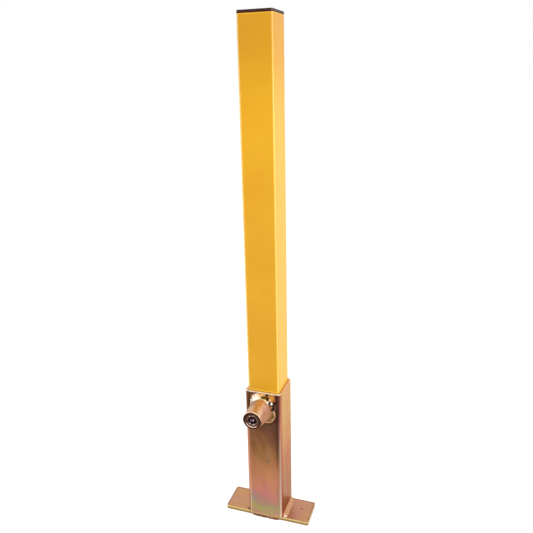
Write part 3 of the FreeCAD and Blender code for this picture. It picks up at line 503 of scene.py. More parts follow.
@dataclass(frozen=True)
class SocketPlate(Passivated):
    """The passivation on the socket: bands up its front, stripes along its sides.

    Attributes:
        half: Half the socket's width.
        corner: Outside radius of its corners.
        height: The socket's top.
        lock: Height of the housing's foot.
        front_bands: Colours up the front, by share of the height, darker below and round the lock as painted
            shade.
        side_bands: Colours up the sides, by share of the height.
        glint_bands: Colours up the painted highlight on the near corner, by share of the height.
        dull_bands: Colours up the line beside it, by share of the height.
        shine: Tint of the shine at a flat angle.
    """

    half: float = 35 * MM
    corner: float = 8 * MM
    height: float = RIM
    lock: float = 248.5 * MM
    front_bands: tuple[Stop, ...] = bands(
        (0.02, 188, 142, 120), (0.06, 178, 160, 102), (0.11, 174, 164, 104), (0.15, 176, 150, 120),
        (0.2, 194, 136, 126), (0.26, 222, 138, 126), (0.34, 234, 158, 114), (0.43, 238, 164, 110),
        (0.54, 222, 156, 96), (0.65, 196, 128, 86), (0.75, 170, 114, 86), (0.88, 180, 128, 86),
        (1.0, 200, 144, 92))
    side_bands: tuple[Stop, ...] = bands(
        (0.0, 160, 100, 54), (0.12, 150, 86, 66), (0.3, 154, 90, 68), (0.5, 198, 126, 72),
        (0.75, 218, 182, 108), (1.0, 236, 206, 130))
    glint_bands: tuple[Stop, ...] = bands(
        (0.0, 232, 210, 172), (0.3, 230, 202, 184), (0.6, 226, 196, 176), (0.74, 232, 146, 142),
        (0.86, 190, 104, 104), (1.0, 150, 76, 74))
    dull_bands: tuple[Stop, ...] = bands(
        (0.0, 176, 122, 104), (0.6, 160, 114, 96), (0.76, 206, 108, 102), (0.9, 188, 82, 82),
        (1.0, 112, 40, 44))
    shine: Colour = (1.0, 0.85, 0.78, 1.0)

    def tint(self, desk: NodeDesk, place: Socket) -> Socket:
        """Join the front, the sides, the rounded corners and the ground rim, whose front is painted near white
        as a highlight.
        """
        x, y, z = desk.parts(place)
        slant = desk.stretch(place, (1.0, 1.0, 0.45), (0.0, 28.0, 0.0))
        drift = DRIFT.place(desk, place=slant, scale=30.0)
        share = desk.maths("DIVIDE", z, self.height)
        level = desk.plus(share, desk.scaled(drift["cloud"], 0.1, -0.05))
        level = desk.plus(level, desk.scaled(drift["mottle"], 0.06, -0.03))
        turn = CORNERS.place(desk, place=place, half=self.half, corner=self.corner)["front"]
        colour = desk.mix(desk.rise(turn, 0.12, 0.75), self.front(desk, x, z, level, drift["mottle"]),
                          self.side(desk, place, y, level))
        colour = self.edges(desk, colour, x, share, turn)
        # The ground rim: tan behind, its front painted near white as a highlight.
        ground = desk.mix(desk.rise(y, -32 * MM, -29 * MM), srgb(250, 246, 236), srgb(238, 186, 142))
        return desk.lay(colour, ground, self.rim(desk, z), 0.9)

    def rim(self, desk: NodeDesk, z: Socket) -> Socket:
        """Mask of the rim, where the tube was sawn and ground."""
        return desk.rise(z, self.height - 0.75 * MM, self.height - 0.45 * MM)

    def edges(self, desk: NodeDesk, colour: Socket, x: Socket, share: Socket, turn: Socket) -> Socket:
        """Lay the lines that run up the rounded corners over the colour: a painted highlight up the near
        corner, a painted highlight low on the left corner and a painted reflection higher up it, and painted
        shade at the upper left.

        Args:
            desk: The material's desk.
            colour: The colour so far.
            x: Place across the socket.
            share: Share of the height.
            turn: How far round a front corner, 0 to 1.

        Returns:
            The colour.
        """
        right = desk.rise(x, 0.0, 1 * MM)
        low = desk.fall(share, 0.2, 0.38)
        near = desk.times(desk.rise(x, 22 * MM, 26 * MM), desk.fall(turn, 0.14, 0.24))
        sawn = desk.fall(share, (PLATE_TOP + 0.9 * MM) / self.height, (PLATE_TOP + 2.2 * MM) / self.height)
        cut = desk.mix(desk.rise(x, 4 * MM, 26 * MM), srgb(240, 204, 160), srgb(232, 178, 92))
        return desk.layers(
            colour,
            (srgb(104, 58, 50), near, desk.rise(share, 0.36, 0.55), 0.5),
            (srgb(168, 150, 112), near, low, 0.6),
            # Painted highlight up the near corner.
            (desk.ramp(share, self.glint_bands), desk.band(turn, 0.25, 0.54, 0.09), right, 0.85),
            (desk.ramp(share, self.dull_bands), desk.band(turn, 0.6, 0.82, 0.08), 0.68),
            # Painted highlight: a pale line low on the left corner.
            (srgb(240, 214, 166), desk.band(turn, 0.08, 0.24, 0.06), desk.minus(1.0, right), low, 0.75),
            # Painted reflection: a salmon strip on the left corner at mid height.
            (srgb(222, 160, 134), desk.fall(x, -27 * MM, -25 * MM), desk.fall(turn, 0.3, 0.5),
             desk.band(share, 0.3, 0.72, 0.05), 0.5),
            # Painted shade at the upper left of the front, round the lock's height.
            (srgb(104, 62, 32), desk.fall(x, -31 * MM, -22 * MM), desk.rise(share, 0.78, 0.86),
             desk.fall(turn, 0.7, 0.95), 0.84),
            (cut, sawn, desk.fall(turn, 0.5, 0.7), 0.7))

    def front(self, desk: NodeDesk, x: Socket, z: Socket, level: Socket, mottle: Socket) -> Socket:
        """Colour of the front: its bands, darker below and round the lock as painted shade, olive right of the
        lock, the weld's heat tint darkened as painted shade of the lock, the torch's orange scale, a painted
        shadow under the bead, ash and spots at the foot.

        Args:
            desk: The material's desk.
            x: Place across the socket.
            z: Height.
            level: Share of the height, swayed by the clouds.
            mottle: The finer clouds.

        Returns:
            The colour.
        """
        bead_shadow = desk.band(self.around(desk, x, z, 30 * MM, 34 * MM), 0.98, 1.1, 0.05)
        beside = desk.times(desk.rise(x, 0.0, 14 * MM), desk.fall(z, 248 * MM, 256 * MM))
        spots = desk.noise(desk.vector(x, 0.0, z), 75.0, 2.0, 0.5)
        foot = desk.fall(z, 26 * MM, 50 * MM)
        return desk.layers(
            desk.ramp(level, self.front_bands),
            (srgb(124, 84, 62), desk.rise(x, 4 * MM, 27 * MM), desk.rise(z, 120 * MM, 190 * MM), 0.36),
            # The weld's heat tint round the housing, darkened as painted shade of the lock.
            (srgb(140, 100, 66), self.stain_and_shade(desk, x, z), 0.6),
            (srgb(84, 68, 48), desk.rise(x, 20 * MM, 26 * MM), desk.rise(z, 205 * MM, 250 * MM), 0.6),
            (srgb(248, 178, 70), self.flame(desk, x, z)),
            # Painted shadow: a dark red-brown ring just outside the bead's lower right.
            (srgb(116, 52, 32), bead_shadow, beside, 0.6),
            (srgb(236, 178, 92), desk.rise(x, 8 * MM, 26 * MM), desk.band(z, 6 * MM, 17 * MM, 4 * MM), 0.35),
            (srgb(168, 152, 146), desk.fall(x, -22 * MM, -8 * MM), desk.band(z, 34 * MM, 62 * MM, 8 * MM), 0.5),
            (srgb(162, 166, 84), desk.rise(spots, 0.52, 0.64), foot, 0.55),
            (srgb(192, 128, 136), desk.fall(spots, 0.36, 0.46), foot, 0.5),
            (srgb(176, 112, 104), mottle, 0.16))

    def side(self, desk: NodeDesk, place: Socket, y: Socket, level: Socket) -> Socket:
        """Colour of the sides and the back: bands by height under stripes by depth.

        Args:
            desk: The material's desk.
            place: The point on the piece.
            y: Its place from front to back.
            level: Share of the height, swayed by the clouds.

        Returns:
            The colour.
        """
        across = desk.maths("DIVIDE", desk.plus(y, self.half), 2 * self.half)
        ribbon = desk.noise(desk.stretch(place, (1.0, 1.0, 0.1), (4.0, 0.0, 0.0)), 50.0, 2.0, 0.5)
        across = desk.plus(across, desk.scaled(ribbon, 0.36, -0.18))
        stripes = desk.ramp(across, bands(
            (0.0, 212, 104, 96), (0.1, 206, 102, 84), (0.19, 204, 150, 88), (0.31, 194, 158, 68),
            (0.45, 212, 128, 66), (0.58, 204, 106, 72), (0.72, 192, 144, 68), (0.86, 214, 124, 62),
            (1.0, 202, 110, 70)))
        return desk.mix(0.42, desk.ramp(level, self.side_bands), stripes)

    def around(self, desk: NodeDesk, x: Socket, z: Socket, half_width: float, half_height: float) -> Socket:
        """How far a point is from the housing's foot: 1 on an oval of the given half sizes."""
        across = desk.maths("DIVIDE", x, half_width)
        up = desk.maths("DIVIDE", desk.minus(z, self.lock), half_height)
        return desk.hypotenuse(across, up)

    def flame(self, desk: NodeDesk, x: Socket, z: Socket) -> Socket:
        """Mask of the orange scale that the torch left between the bead and the rim."""
        return desk.times(desk.band(x, 12 * MM, 22.5 * MM, 3 * MM), desk.band(z, 262 * MM, 280 * MM, 3 * MM))

    def stain_and_shade(self, desk: NodeDesk, x: Socket, z: Socket) -> Socket:
        """Mask of the brown round the housing: a heat tint from the weld, laid darker as painted shade of the
        lock.
        """
        return desk.fall(self.around(desk, x, z, 34 * MM, 42 * MM), 0.7, 1.35)

    def looks(self, desk: NodeDesk, place: Socket) -> dict[str, object]:
        """Tint the shine at a flat angle, and dull the rim and the torch's scale."""
        looks = super().looks(desk, place)
        x, y, z = desk.parts(place)
        scale = desk.times(self.flame(desk, x, z), desk.fall(y, -34 * MM, -32 * MM))
        return {**looks, "Specular Tint": self.shine, "Metallic": desk.scaled(scale, -0.6, 1.0),
                "Roughness": desk.scaled(self.rim(desk, z), 0.2, looks["Roughness"])}


@dataclass(frozen=True)
class FootPlate(Passivated):
    """The passivation on the foot plate: tan and rose above, gold on the edges.

    Attributes:
        top: The plate's thickness.
        ends: Where its flat top ends to the left and right.
        back: Where its flat top ends at the back.
    """

    draw: tuple[float, float, float] = (0.12, 1.0, 1.0)
    lines: float = 0.3
    top: float = PLATE_TOP
    ends: float = 84.4 * MM
    back: float = 29.4 * MM

    def tint(self, desk: NodeDesk, place: Socket) -> Socket:
        """Mix the top's clouds and the edges' gold, painted pale near the top as a highlight and dark towards
        the floor as shade.
        """
        x, y, z = desk.parts(place)
        drift = DRIFT.place(desk, place=desk.stretch(place, (0.6, 1.0, 1.0), (0.0, 0.0, 35.0)), scale=34.0)
        brink = desk.larger(desk.rise(desk.maths("ABSOLUTE", x), self.ends - 2.6 * MM, self.ends - 0.8 * MM),
                            desk.rise(y, self.back - 3.2 * MM, self.back - 1.0 * MM))
        flat = desk.layers(
            desk.mix(drift["cloud"], srgb(204, 148, 102), srgb(198, 134, 122)),
            (srgb(184, 146, 104), drift["mottle"], 0.4),
            (srgb(140, 86, 58), brink, 0.8))
        # Painted highlight and shade: the edges dark near the floor and pale near the top.
        edge = desk.ramp(desk.maths("DIVIDE", z, self.top), bands(
            (0.0, 132, 90, 46), (0.3, 160, 124, 62), (0.6, 190, 154, 86), (0.8, 246, 222, 160),
            (0.97, 244, 214, 154)))
        return desk.mix(desk.rise(z, self.top - 0.4 * MM, self.top - 0.05 * MM), edge, flat)


@dataclass(frozen=True)
class HousingPlate(Passivated):
    """The passivation on the lock housing: gold above, rose at the right, with painted highlights and shade
    round the flare and on the nose, whose face is painted dark.

    Attributes:
        nose: Where the nose ends, in front of the socket's middle.
        mouth: Radius of the nose's opening.
        highlight_arc: Radius of the ring on whose lower left a light arc is painted as a highlight.
        flare_bands: Colours round the flare, by share of a turn, with a painted highlight at the upper right
            and painted shade at the left.
    """

    draw: tuple[float, float, float] = (1.0, 0.15, 1.0)
    lines: float = 0.42
    nose: float = 93 * MM
    mouth: float = 16.3 * MM
    highlight_arc: float = 13.1 * MM
    flare_bands: tuple[Stop, ...] = bands(
        (0.0, 150, 110, 76), (0.2, 186, 146, 100), (0.4, 222, 160, 112), (0.5, 188, 126, 90),
        (0.57, 212, 144, 122), (0.64, 250, 210, 170), (0.7, 222, 190, 150), (0.77, 224, 190, 156),
        (0.85, 204, 160, 116), (0.92, 152, 108, 70), (1.0, 146, 106, 70))

    def tint(self, desk: NodeDesk, place: Socket) -> Socket:
        """Mix round the flare by angle with painted highlight and shade, then paint the nose's face as a dark
        reflection and its opening as shade, its edge as a highlight above and shade below, and a highlight on
        the ring's lower left.
        """
        x, y, z = desk.parts(place)
        up = desk.minus(z, LOCK_AXIS)
        drift = DRIFT.place(desk, place=place, scale=60.0)
        turn = desk.scaled(desk.maths("ARCTAN2", up, x), 1 / (2 * math.pi), 0.5)
        turn = desk.plus(turn, desk.scaled(drift["cloud"], 0.05, -0.025))
        radius = desk.hypotenuse(x, up)
        ahead = desk.minus(desk.times(y, -1.0), self.nose)
        # Painted highlight and shade: the nose's edge pale above and dark below.
        edge = desk.times(desk.rise(ahead, -1 * MM, -0.5 * MM),
                          desk.rise(radius, self.mouth + 0.2 * MM, self.mouth + 0.5 * MM))
        inside = desk.times(desk.rise(ahead, -4 * MM, -3 * MM),
                            desk.fall(radius, self.mouth, self.mouth + 0.2 * MM))
        # Painted highlight: a light arc on the ring's lower left.
        ring = desk.band(radius, self.highlight_arc - 0.5 * MM, self.highlight_arc + 0.5 * MM, 0.2 * MM)
        below = desk.plus(desk.times(x, -0.18), desk.times(up, -0.98))
        return desk.layers(
            # Colours by angle round the flare, with a painted highlight at the upper right and painted shade at
            # the left.
            desk.ramp(turn, self.flare_bands),
            (srgb(190, 126, 70), drift["mottle"], 0.3),
            (desk.mix(desk.rise(up, -2 * MM, 5 * MM), srgb(100, 56, 34), srgb(236, 216, 200)), edge, 0.7),
            # Painted dark: shade in the nose's opening and a dark reflection on its face.
            (srgb(92, 52, 30), desk.larger(inside, desk.rise(ahead, -0.08 * MM, -0.02 * MM))),
            (srgb(240, 208, 176), ring, desk.rise(below, 8.5 * MM, 10.5 * MM), 0.7))


@dataclass(frozen=True)
class PinPlate(Passivated):
    """The grey-violet passivation on the rest pin's ground ends."""

    draw: tuple[float, float, float] = (1.0, 1.0, 0.3)

    def tint(self, desk: NodeDesk, place: Socket) -> Socket:
        """Mix grey and violet clouds."""
        drift = DRIFT.place(desk, place=place, scale=180.0)
        return desk.mix(drift["cloud"], srgb(180, 134, 120), srgb(190, 144, 110))


@dataclass(frozen=True)
class ColourPatch:
    """A patch of another colour on a weld or on the lock's face. Some are heat colours, some painted highlights
    and some painted shade.

    Attributes:
        centre: Its middle, in millimetres.
        half: Half its size along X, Y and Z, in millimetres.
        colour: Its colour.
        share: How much of that colour it takes.
        dulling: How much of the metal's shine the patch takes away, so that a pale patch reads as a painted
            highlight.
    """

    centre: tuple[float, float, float]
    half: tuple[float, float, float]
    colour: Colour
    share: float = 0.9
    dulling: float = 0.0

    def mask(self, desk: NodeDesk, place: Socket) -> Socket:
        """Return 1 inside the patch and 0 outside, with an uneven soft edge."""
        shift = desk.mapping(place, Scale=[1 / (size * MM) for size in self.half],
                             Location=[-spot / size for spot, size in zip(self.centre, self.half)])
        length = desk.add("ShaderNodeVectorMath", {"Vector": shift}, operation="LENGTH")
        ragged = desk.scaled(desk.noise(place, 420.0, 2.0, 0.6), 0.7, -0.35)
        away = desk.plus(length.outputs["Value"], ragged)
        return desk.fall(away, 0.75, 1.1)


@dataclass(frozen=True)
class WeldMetal(Finish):
    """Plated weld bead: smooth, liquid-looking metal with pale and dark heat colours.

    Attributes:
        pale: The bead where it is thickest.
        gold: Most of the bead.
        deep: Its dark patches.
        dimple: Height of its small unevenness.
        colour_patches: Its larger patches: heat colours, painted highlights and painted shade.
    """

    pale: Colour = srgb(250, 240, 218)
    gold: Colour = srgb(222, 196, 150)
    deep: Colour = srgb(160, 126, 86)
    dimple: float = 0.00007
    colour_patches: tuple[ColourPatch, ...] = ()

    def looks(self, desk: NodeDesk, place: Socket) -> dict[str, object]:
        """Add heat colours, dark spots, the larger patches with their painted highlights and shade, and faint
        dimples.
        """
        drift = DRIFT.place(desk, place=place, scale=80.0)
        colour = desk.layers(
            desk.ramp(drift["cloud"], ((0.0, self.pale), (0.4, self.gold), (1.0, self.gold))),
            (desk.mix(0.5, self.gold, srgb(214, 158, 136)), desk.rise(drift["cloud"], 0.7, 1.0), 0.6),
            (self.deep, drift["mottle"], 0.25))
        bare: object = self.metallic
        # The larger patches, some of them painted highlights and shade; a patch's dulling takes shine away so
        # that a pale one reads as a highlight.
        for colour_patch in self.colour_patches:
            mask = colour_patch.mask(desk, place)
            colour = desk.lay(colour, colour_patch.colour, mask, colour_patch.share)
            if colour_patch.dulling:
                bare = desk.times(bare, desk.scaled(mask, -colour_patch.dulling, 1.0))
        dimples = desk.noise(place, 380.0, 2.0, 0.45)
        return {"Base Color": colour, "Metallic": bare, "Roughness": self.gloss(desk, drift["mottle"], 0.06),
                "Normal": desk.bump(dimples, self.dimple)}


@dataclass(frozen=True)
class CapPlastic(Finish):
    """Moulded cap: dark brown-black with a fine spark-eroded grain.

    Attributes:
        half: Half the cap's width.
        corner: Outside radius of its corners.
        top: Height of its top.
        grain: Height of the grain.
    """

    half: float = POST_HALF
    corner: float = POST_CORNER
    top: float = 930 * MM
    grain: float = 0.00003

    def looks(self, desk: NodeDesk, place: Socket) -> dict[str, object]:
        """Add the grain, dust that greys the top, the moulding's line round the rim with a painted highlight
        where it rounds the corners, painted shade just under the top edge and scuffed specks.
        """
        _, _, z = desk.parts(place)
        drift = DRIFT.place(desk, place=place, scale=40.0)
        corner = CORNERS.place(desk, place=place, half=self.half, corner=self.corner)["any"]
        line = desk.band(z, self.top - 3 * MM, self.top - 1.8 * MM, 0.4 * MM)
        colour = desk.layers(
            desk.mix(drift["cloud"], srgb(40, 17, 12), srgb(50, 22, 15)),
            (srgb(66, 18, 20), desk.fall(z, self.top - 4.4 * MM, self.top - 3.4 * MM), 0.6),
            (srgb(80, 52, 46), line, 0.5),
            # Painted highlight where the line rounds the corners.
            (srgb(176, 144, 132), line, desk.band(corner, 0.3, 0.7, 0.2), 0.6),
            # Painted shade just under the top edge.
            (srgb(22, 8, 6), desk.band(z, self.top - 1.2 * MM, self.top - 0.2 * MM, 0.2 * MM), 0.6),
            (srgb(120, 104, 96), desk.rise(z, self.top - 1 * MM, self.top),
             desk.scaled(drift["mottle"], 0.15, 0.1)),
            (srgb(136, 110, 98), SPECKS.place(desk, place=place, scale=700.0)["mask"], 0.4))
        sparks = desk.noise(place, 2400.0, 2.0, 0.5)
        return {"Base Color": colour, "Specular IOR Level": 0.22, "Normal": desk.bump(sparks, self.grain),
                "Roughness": self.gloss(desk, drift["mottle"], 0.1)}


@dataclass(frozen=True)
class TurnedMetal(Finish):
    """Turned metal of the lock, with rings round the lock's axis.

    Attributes:
        colour: The clean metal.
        tarnish: Its darker film.
        bright: Painted highlight on the burr, stronger on its lower arc.
        film: How much film there is.
        rings: Rings per metre times two pi.
        relief: Height of the rings.
        lip: Radius of the burr that turning left round an edge, 0 for none.
        core_shade: Radius inside which the face is painted dark as shade round the keyway, 0 for none.
        glints: Painted highlights on the face.
    """

    colour: Colour = srgb(190, 170, 160)
    tarnish: Colour = srgb(120, 90, 84)
    bright: Colour = srgb(255, 226, 238)
    film: float = 0.6
    rings: float = 9000.0
    relief: float = 0.00002
    lip: float = 0.0
    core_shade: float = 0.0
    glints: tuple[ColourPatch, ...] = ()

    def looks(self, desk: NodeDesk, place: Socket) -> dict[str, object]:
        """Add the rings, the film, fine scratches, painted shade round the keyway, the burr with its painted
        highlight and painted highlights on the face.
        """
        round_axis = desk.mapping(place, Location=(0.0, 0.0, -LOCK_AXIS))
        rings = RINGS.place(desk, place=round_axis, pitch=self.rings)
        drift = DRIFT.place(desk, place=place, scale=160.0)
        specks = SPECKS.place(desk, place=place, scale=1500.0)
        colour = desk.layers(self.colour, (self.tarnish, drift["cloud"], self.film),
                             (self.tarnish, specks["mask"], 0.5))
        bare: object = self.metallic
        normal = desk.bump(rings["height"], self.relief)
        # Painted shade: the face darkened round the keyway.
        if self.core_shade:
            dark = desk.fall(rings["radius"], self.core_shade - 0.6 * MM, self.core_shade + 0.6 * MM)
            colour = desk.lay(colour, srgb(74, 40, 58), dark, 0.8)
        # The burr's relief, painted light as a highlight that is stronger on its lower arc.
        if self.lip:
            burr = desk.band(rings["radius"], self.lip - 0.4 * MM, self.lip + 0.4 * MM, 0.4 * MM)
            down = desk.times(desk.parts(round_axis)[2], -1.0)
            below = desk.rise(down, 0.3 * self.lip, 0.75 * self.lip)
            highlight_arc = desk.times(burr, desk.rise(desk.noise(place, 260.0, 1.0, 0.5), 0.42, 0.52),
                              desk.scaled(below, 0.3, 0.2))
            colour = desk.mix(highlight_arc, colour, self.bright)
            bare = desk.scaled(highlight_arc, -0.55, 1.0)
            normal = desk.bump(burr, 0.4 * MM, normal)
        # Painted highlights on the face, with the metal's shine taken away under them.
        for painted_glint in self.glints:
            mask = desk.times(painted_glint.mask(desk, place), painted_glint.share)
            colour = desk.mix(mask, colour, painted_glint.colour)
            bare = desk.times(bare, desk.scaled(mask, -painted_glint.dulling, 1.0))
        return {"Base Color": colour, "Metallic": bare, "Roughness": self.gloss(desk, drift["mottle"], 0.1),
                "Normal": normal}


POWDER_COAT = PowderCoat("powder_coat", 0.4, 0.0)
SOCKET_PLATE = SocketPlate("passivated_socket", 0.36)
FOOT_PLATE = FootPlate("passivated_foot", 0.38)
HOUSING_PLATE = HousingPlate("passivated_housing", 0.42)
PIN_PLATE = PinPlate("passivated_pin", 0.4)
# The near-white patch at the right weld's near end is a painted glint and the dark one at the left weld's front
# end painted shade; the one at the right weld's back end darkens it.
FOOT_PATCHES = (
    ColourPatch((40, -29.2, 10), (4, 2, 6), srgb(255, 250, 236), 0.95),
    ColourPatch((40, 27, 10), (3.4, 2.2, 4), srgb(110, 78, 44), 0.85),
    ColourPatch((-38, -28, 10), (6, 3, 6), srgb(120, 78, 56)))
FOOT_WELD = WeldMetal("plated_foot_weld", 0.36, pale=srgb(214, 168, 124), gold=srgb(208, 154, 116),
                      deep=srgb(190, 144, 100), dimple=0.00012, colour_patches=FOOT_PATCHES)
# Painted shade: the welds under the overhang take a darker copy of the foot weld's colours.
SHADED_UNDER_WELD = WeldMetal("shaded_under_weld", 0.34, pale=srgb(146, 100, 62), gold=srgb(132, 88, 54),
                       deep=srgb(92, 56, 36), dimple=0.00012)
CAP_PLASTIC = CapPlastic("moulded_cap", 0.45, 0.0)
# Painted highlights on the barrel's and the plug's faces, with the metal's shine partly taken away under them.
GLINT_HALF = (1.2, 2, 1.2)
FACE_GLINTS = (
    ColourPatch((-4.6, -91.5, 250), (1.6, 2, 1.2), srgb(255, 228, 222), 0.95, 0.62),
    ColourPatch((2.1, -91.5, 248.9), (1.3, 2, 1.6), srgb(255, 222, 240), 0.95, 0.66),
    ColourPatch((-4.3, -91.5, 264), GLINT_HALF, srgb(250, 214, 186), 0.85, 0.55),
    ColourPatch((1.2, -91.5, 265), GLINT_HALF, srgb(250, 216, 184), 0.8, 0.55))
PLUG_GLINTS = (
    ColourPatch((-2.7, -91, 255.6), (0.9, 2, 2.4), srgb(240, 214, 226), 0.9, 0.55),
    ColourPatch((1.7, -91, 256.7), GLINT_HALF, srgb(248, 230, 244), 0.9, 0.6))
LOCK_NICKEL = TurnedMetal("nickel_wear_and_glints", 0.3, colour=srgb(182, 140, 118), tarnish=srgb(122, 86, 74),
                          lip=8.9 * MM, core_shade=8.4 * MM, glints=FACE_GLINTS)
KEYWAY_NICKEL = TurnedMetal("bright_nickel", 0.22, colour=srgb(164, 122, 138), tarnish=srgb(52, 32, 42),
                            bright=srgb(206, 176, 192), film=0.95, lip=2.8 * MM, glints=PLUG_GLINTS)
LOCK_BRASS = TurnedMetal("turned_brass", 0.28, colour=srgb(214, 178, 104), tarnish=srgb(150, 112, 60))
PLAIN_STEEL = TurnedMetal("ground_steel", 0.3, colour=srgb(180, 178, 174), tarnish=srgb(122, 116, 110))


def link(name: str, mesh: bpy.types.Mesh) -> bpy.types.Object:
    """Put a mesh in the scene as a piece at the origin."""
    piece = bpy.data.objects.new(name, mesh)
    bpy.context.scene.collection.objects.link(piece)
    return piece


def smooth_mesh(name: str, points: np.ndarray, faces: Sequence[Sequence[int]]) -> bpy.types.Mesh:
    """Make a smooth-shaded mesh.

    Args:
        name: The mesh's name.
        points: One row of three lengths for each point.
        faces: Point numbers of each face.

    Returns:
        The mesh.
    """
    mesh = bpy.data.meshes.new(name)
    mesh.from_pydata([tuple(point) for point in points], [], [list(face) for face in faces])
    mesh.polygons.foreach_set("use_smooth", np.ones(len(mesh.polygons), bool))
    mesh.update()
    return mesh


def between(rings: Sequence[int], nexts: Sequence[int], count: int) -> list[tuple[int, ...]]:
    """Join rings of points to the rings beside them.

    Args:
        rings: Number of each ring's first point.
        nexts: The same of the ring that it is joined to.
        count: Points on a ring.

    Returns:
        The faces.
    """
    faces: list[tuple[int, ...]] = []
    for here, after in zip(rings, nexts):
        for spot in range(count):
            beside = (spot + 1) % count
            faces.append((here + spot, here + beside, after + beside, after + spot))
    return faces


def dress_node(name: str, finish: Finish) -> None:
    """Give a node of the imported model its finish."""
    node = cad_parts[name]
    for place in node.material_slots:
        place.material = finish.material()
    LOG.info("%s dressed in %s", name, finish.name)


def settle(piece: bpy.types.Object, body: Body, slot: Slot, *replaced: str) -> None:
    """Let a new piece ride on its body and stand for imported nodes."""
    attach(piece, body.value)
    if replaced:
        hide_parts(*replaced)
    LOG.info("%s rides on %s, %d faces", piece.name, body.value, len(piece.data.polygons))


@dataclass
class Growth:
    """A Geometry Nodes tree with named sizes, run once and kept as a plain mesh.

    Attributes:
        name: Name of the tree and of the piece.
        sizes: Each named input and its value.
    """

    name: str
    sizes: Mapping[str, float]

    def __post_init__(self) -> None:
        """Start the tree with its inputs and its way out."""
        self.tree = bpy.data.node_groups.new(self.name, "GeometryNodeTree")
        self.tree.interface.new_socket("Geometry", in_out="INPUT", socket_type="NodeSocketGeometry")
        self.keys = {}
        for name, value in self.sizes.items():
            kind = "NodeSocketInt" if isinstance(value, int) else FLOAT
            socket = self.tree.interface.new_socket(name, in_out="INPUT", socket_type=kind)
            self.keys[name] = socket.identifier
        self.tree.interface.new_socket("Geometry", in_out="OUTPUT", socket_type="NodeSocketGeometry")
        self.desk = NodeDesk(self.tree)
        self.entry = self.desk.add("NodeGroupInput").outputs

    def finish(self, grown: Socket, finish: Finish, seed: bpy.types.Mesh | None = None) -> bpy.types.Object:
        """Realize what the tree grows, give it its material and keep it as a mesh.

        Args:
            grown: The geometry.
            finish: Its finish.
            seed: A mesh whose points the tree reads.

        Returns:
            The piece, at the origin.
        """
        desk = self.desk
        real = desk.shape("GeometryNodeRealizeInstances", {"Geometry": grown})
        smooth = desk.shape("GeometryNodeSetShadeSmooth", {"Geometry": real})
        coat = desk.shape("GeometryNodeSetMaterial", {"Geometry": smooth, "Material": finish.material()})
        desk.add("NodeGroupOutput", {"Geometry": coat})
        worker = link(self.name + "_worker", seed or bpy.data.meshes.new(self.name + "_seed"))
        modifier = worker.modifiers.new("growth", "NODES")
        modifier.node_group = self.tree
        for name, value in self.sizes.items():
            modifier[self.keys[name]] = value
        bpy.context.view_layer.update()
        ready = worker.evaluated_get(bpy.context.evaluated_depsgraph_get())
        mesh = bpy.data.meshes.new_from_object(ready)
        mesh.name = self.name
        worker.modifiers.remove(modifier)
        bpy.data.objects.remove(worker)
        return link(self.name, mesh)


@dataclass(frozen=True)
class Lump:
    """A swelling or a hollow on the bead round the housing.

    Attributes:
        turn: Where it is, in degrees, clockwise seen from the front, 0 at the right.
        spread: Half its length along the bead, in degrees.
        level: Where it is across the bead, 0 at the housing and 1 at the toe.
        reach: Half its width across the bead, as a share.
        height: How far it stands out, in millimetres; less than 0 for a hollow.
    """

    turn: float
    spread: float
    level: float
    reach: float
    height: float


@dataclass(frozen=True)
class Drop:
    """A rounded blob where the torch stopped, standing out of the bead.

    Attributes:
        turn: Where it is, in degrees, as for a lump.
        out: Its middle, outside the housing's foot, in millimetres.
        stand: Its middle, in front of the socket, in millimetres.
        half: Half its length along the bead, across it and off the socket, in millimetres.
    """

    turn: float
    out: float
    stand: float
    half: tuple[float, float, float]


@dataclass(frozen=True)
class BeadPatch:
    """A patch of another colour on the bead, placed round the housing's foot. Some are heat colours, some
    painted highlights and some painted shade.

    Attributes:
        turn: Where it is, in degrees, as for a lump.
        out: Its middle, outside the housing's foot, in millimetres.
        stand: Its middle, in front of the socket, in millimetres.
        half: Half its size along X, Y and Z, in millimetres.
        colour: Its colour.
        share: How much of that colour it takes.
        dulling: How much of the metal's shine the patch takes away, so that a pale patch reads as a painted
            highlight.
    """

    turn: float
    out: float
    stand: float
    half: tuple[float, float, float]
    colour: Colour
    share: float = 0.9
    dulling: float = 0.0


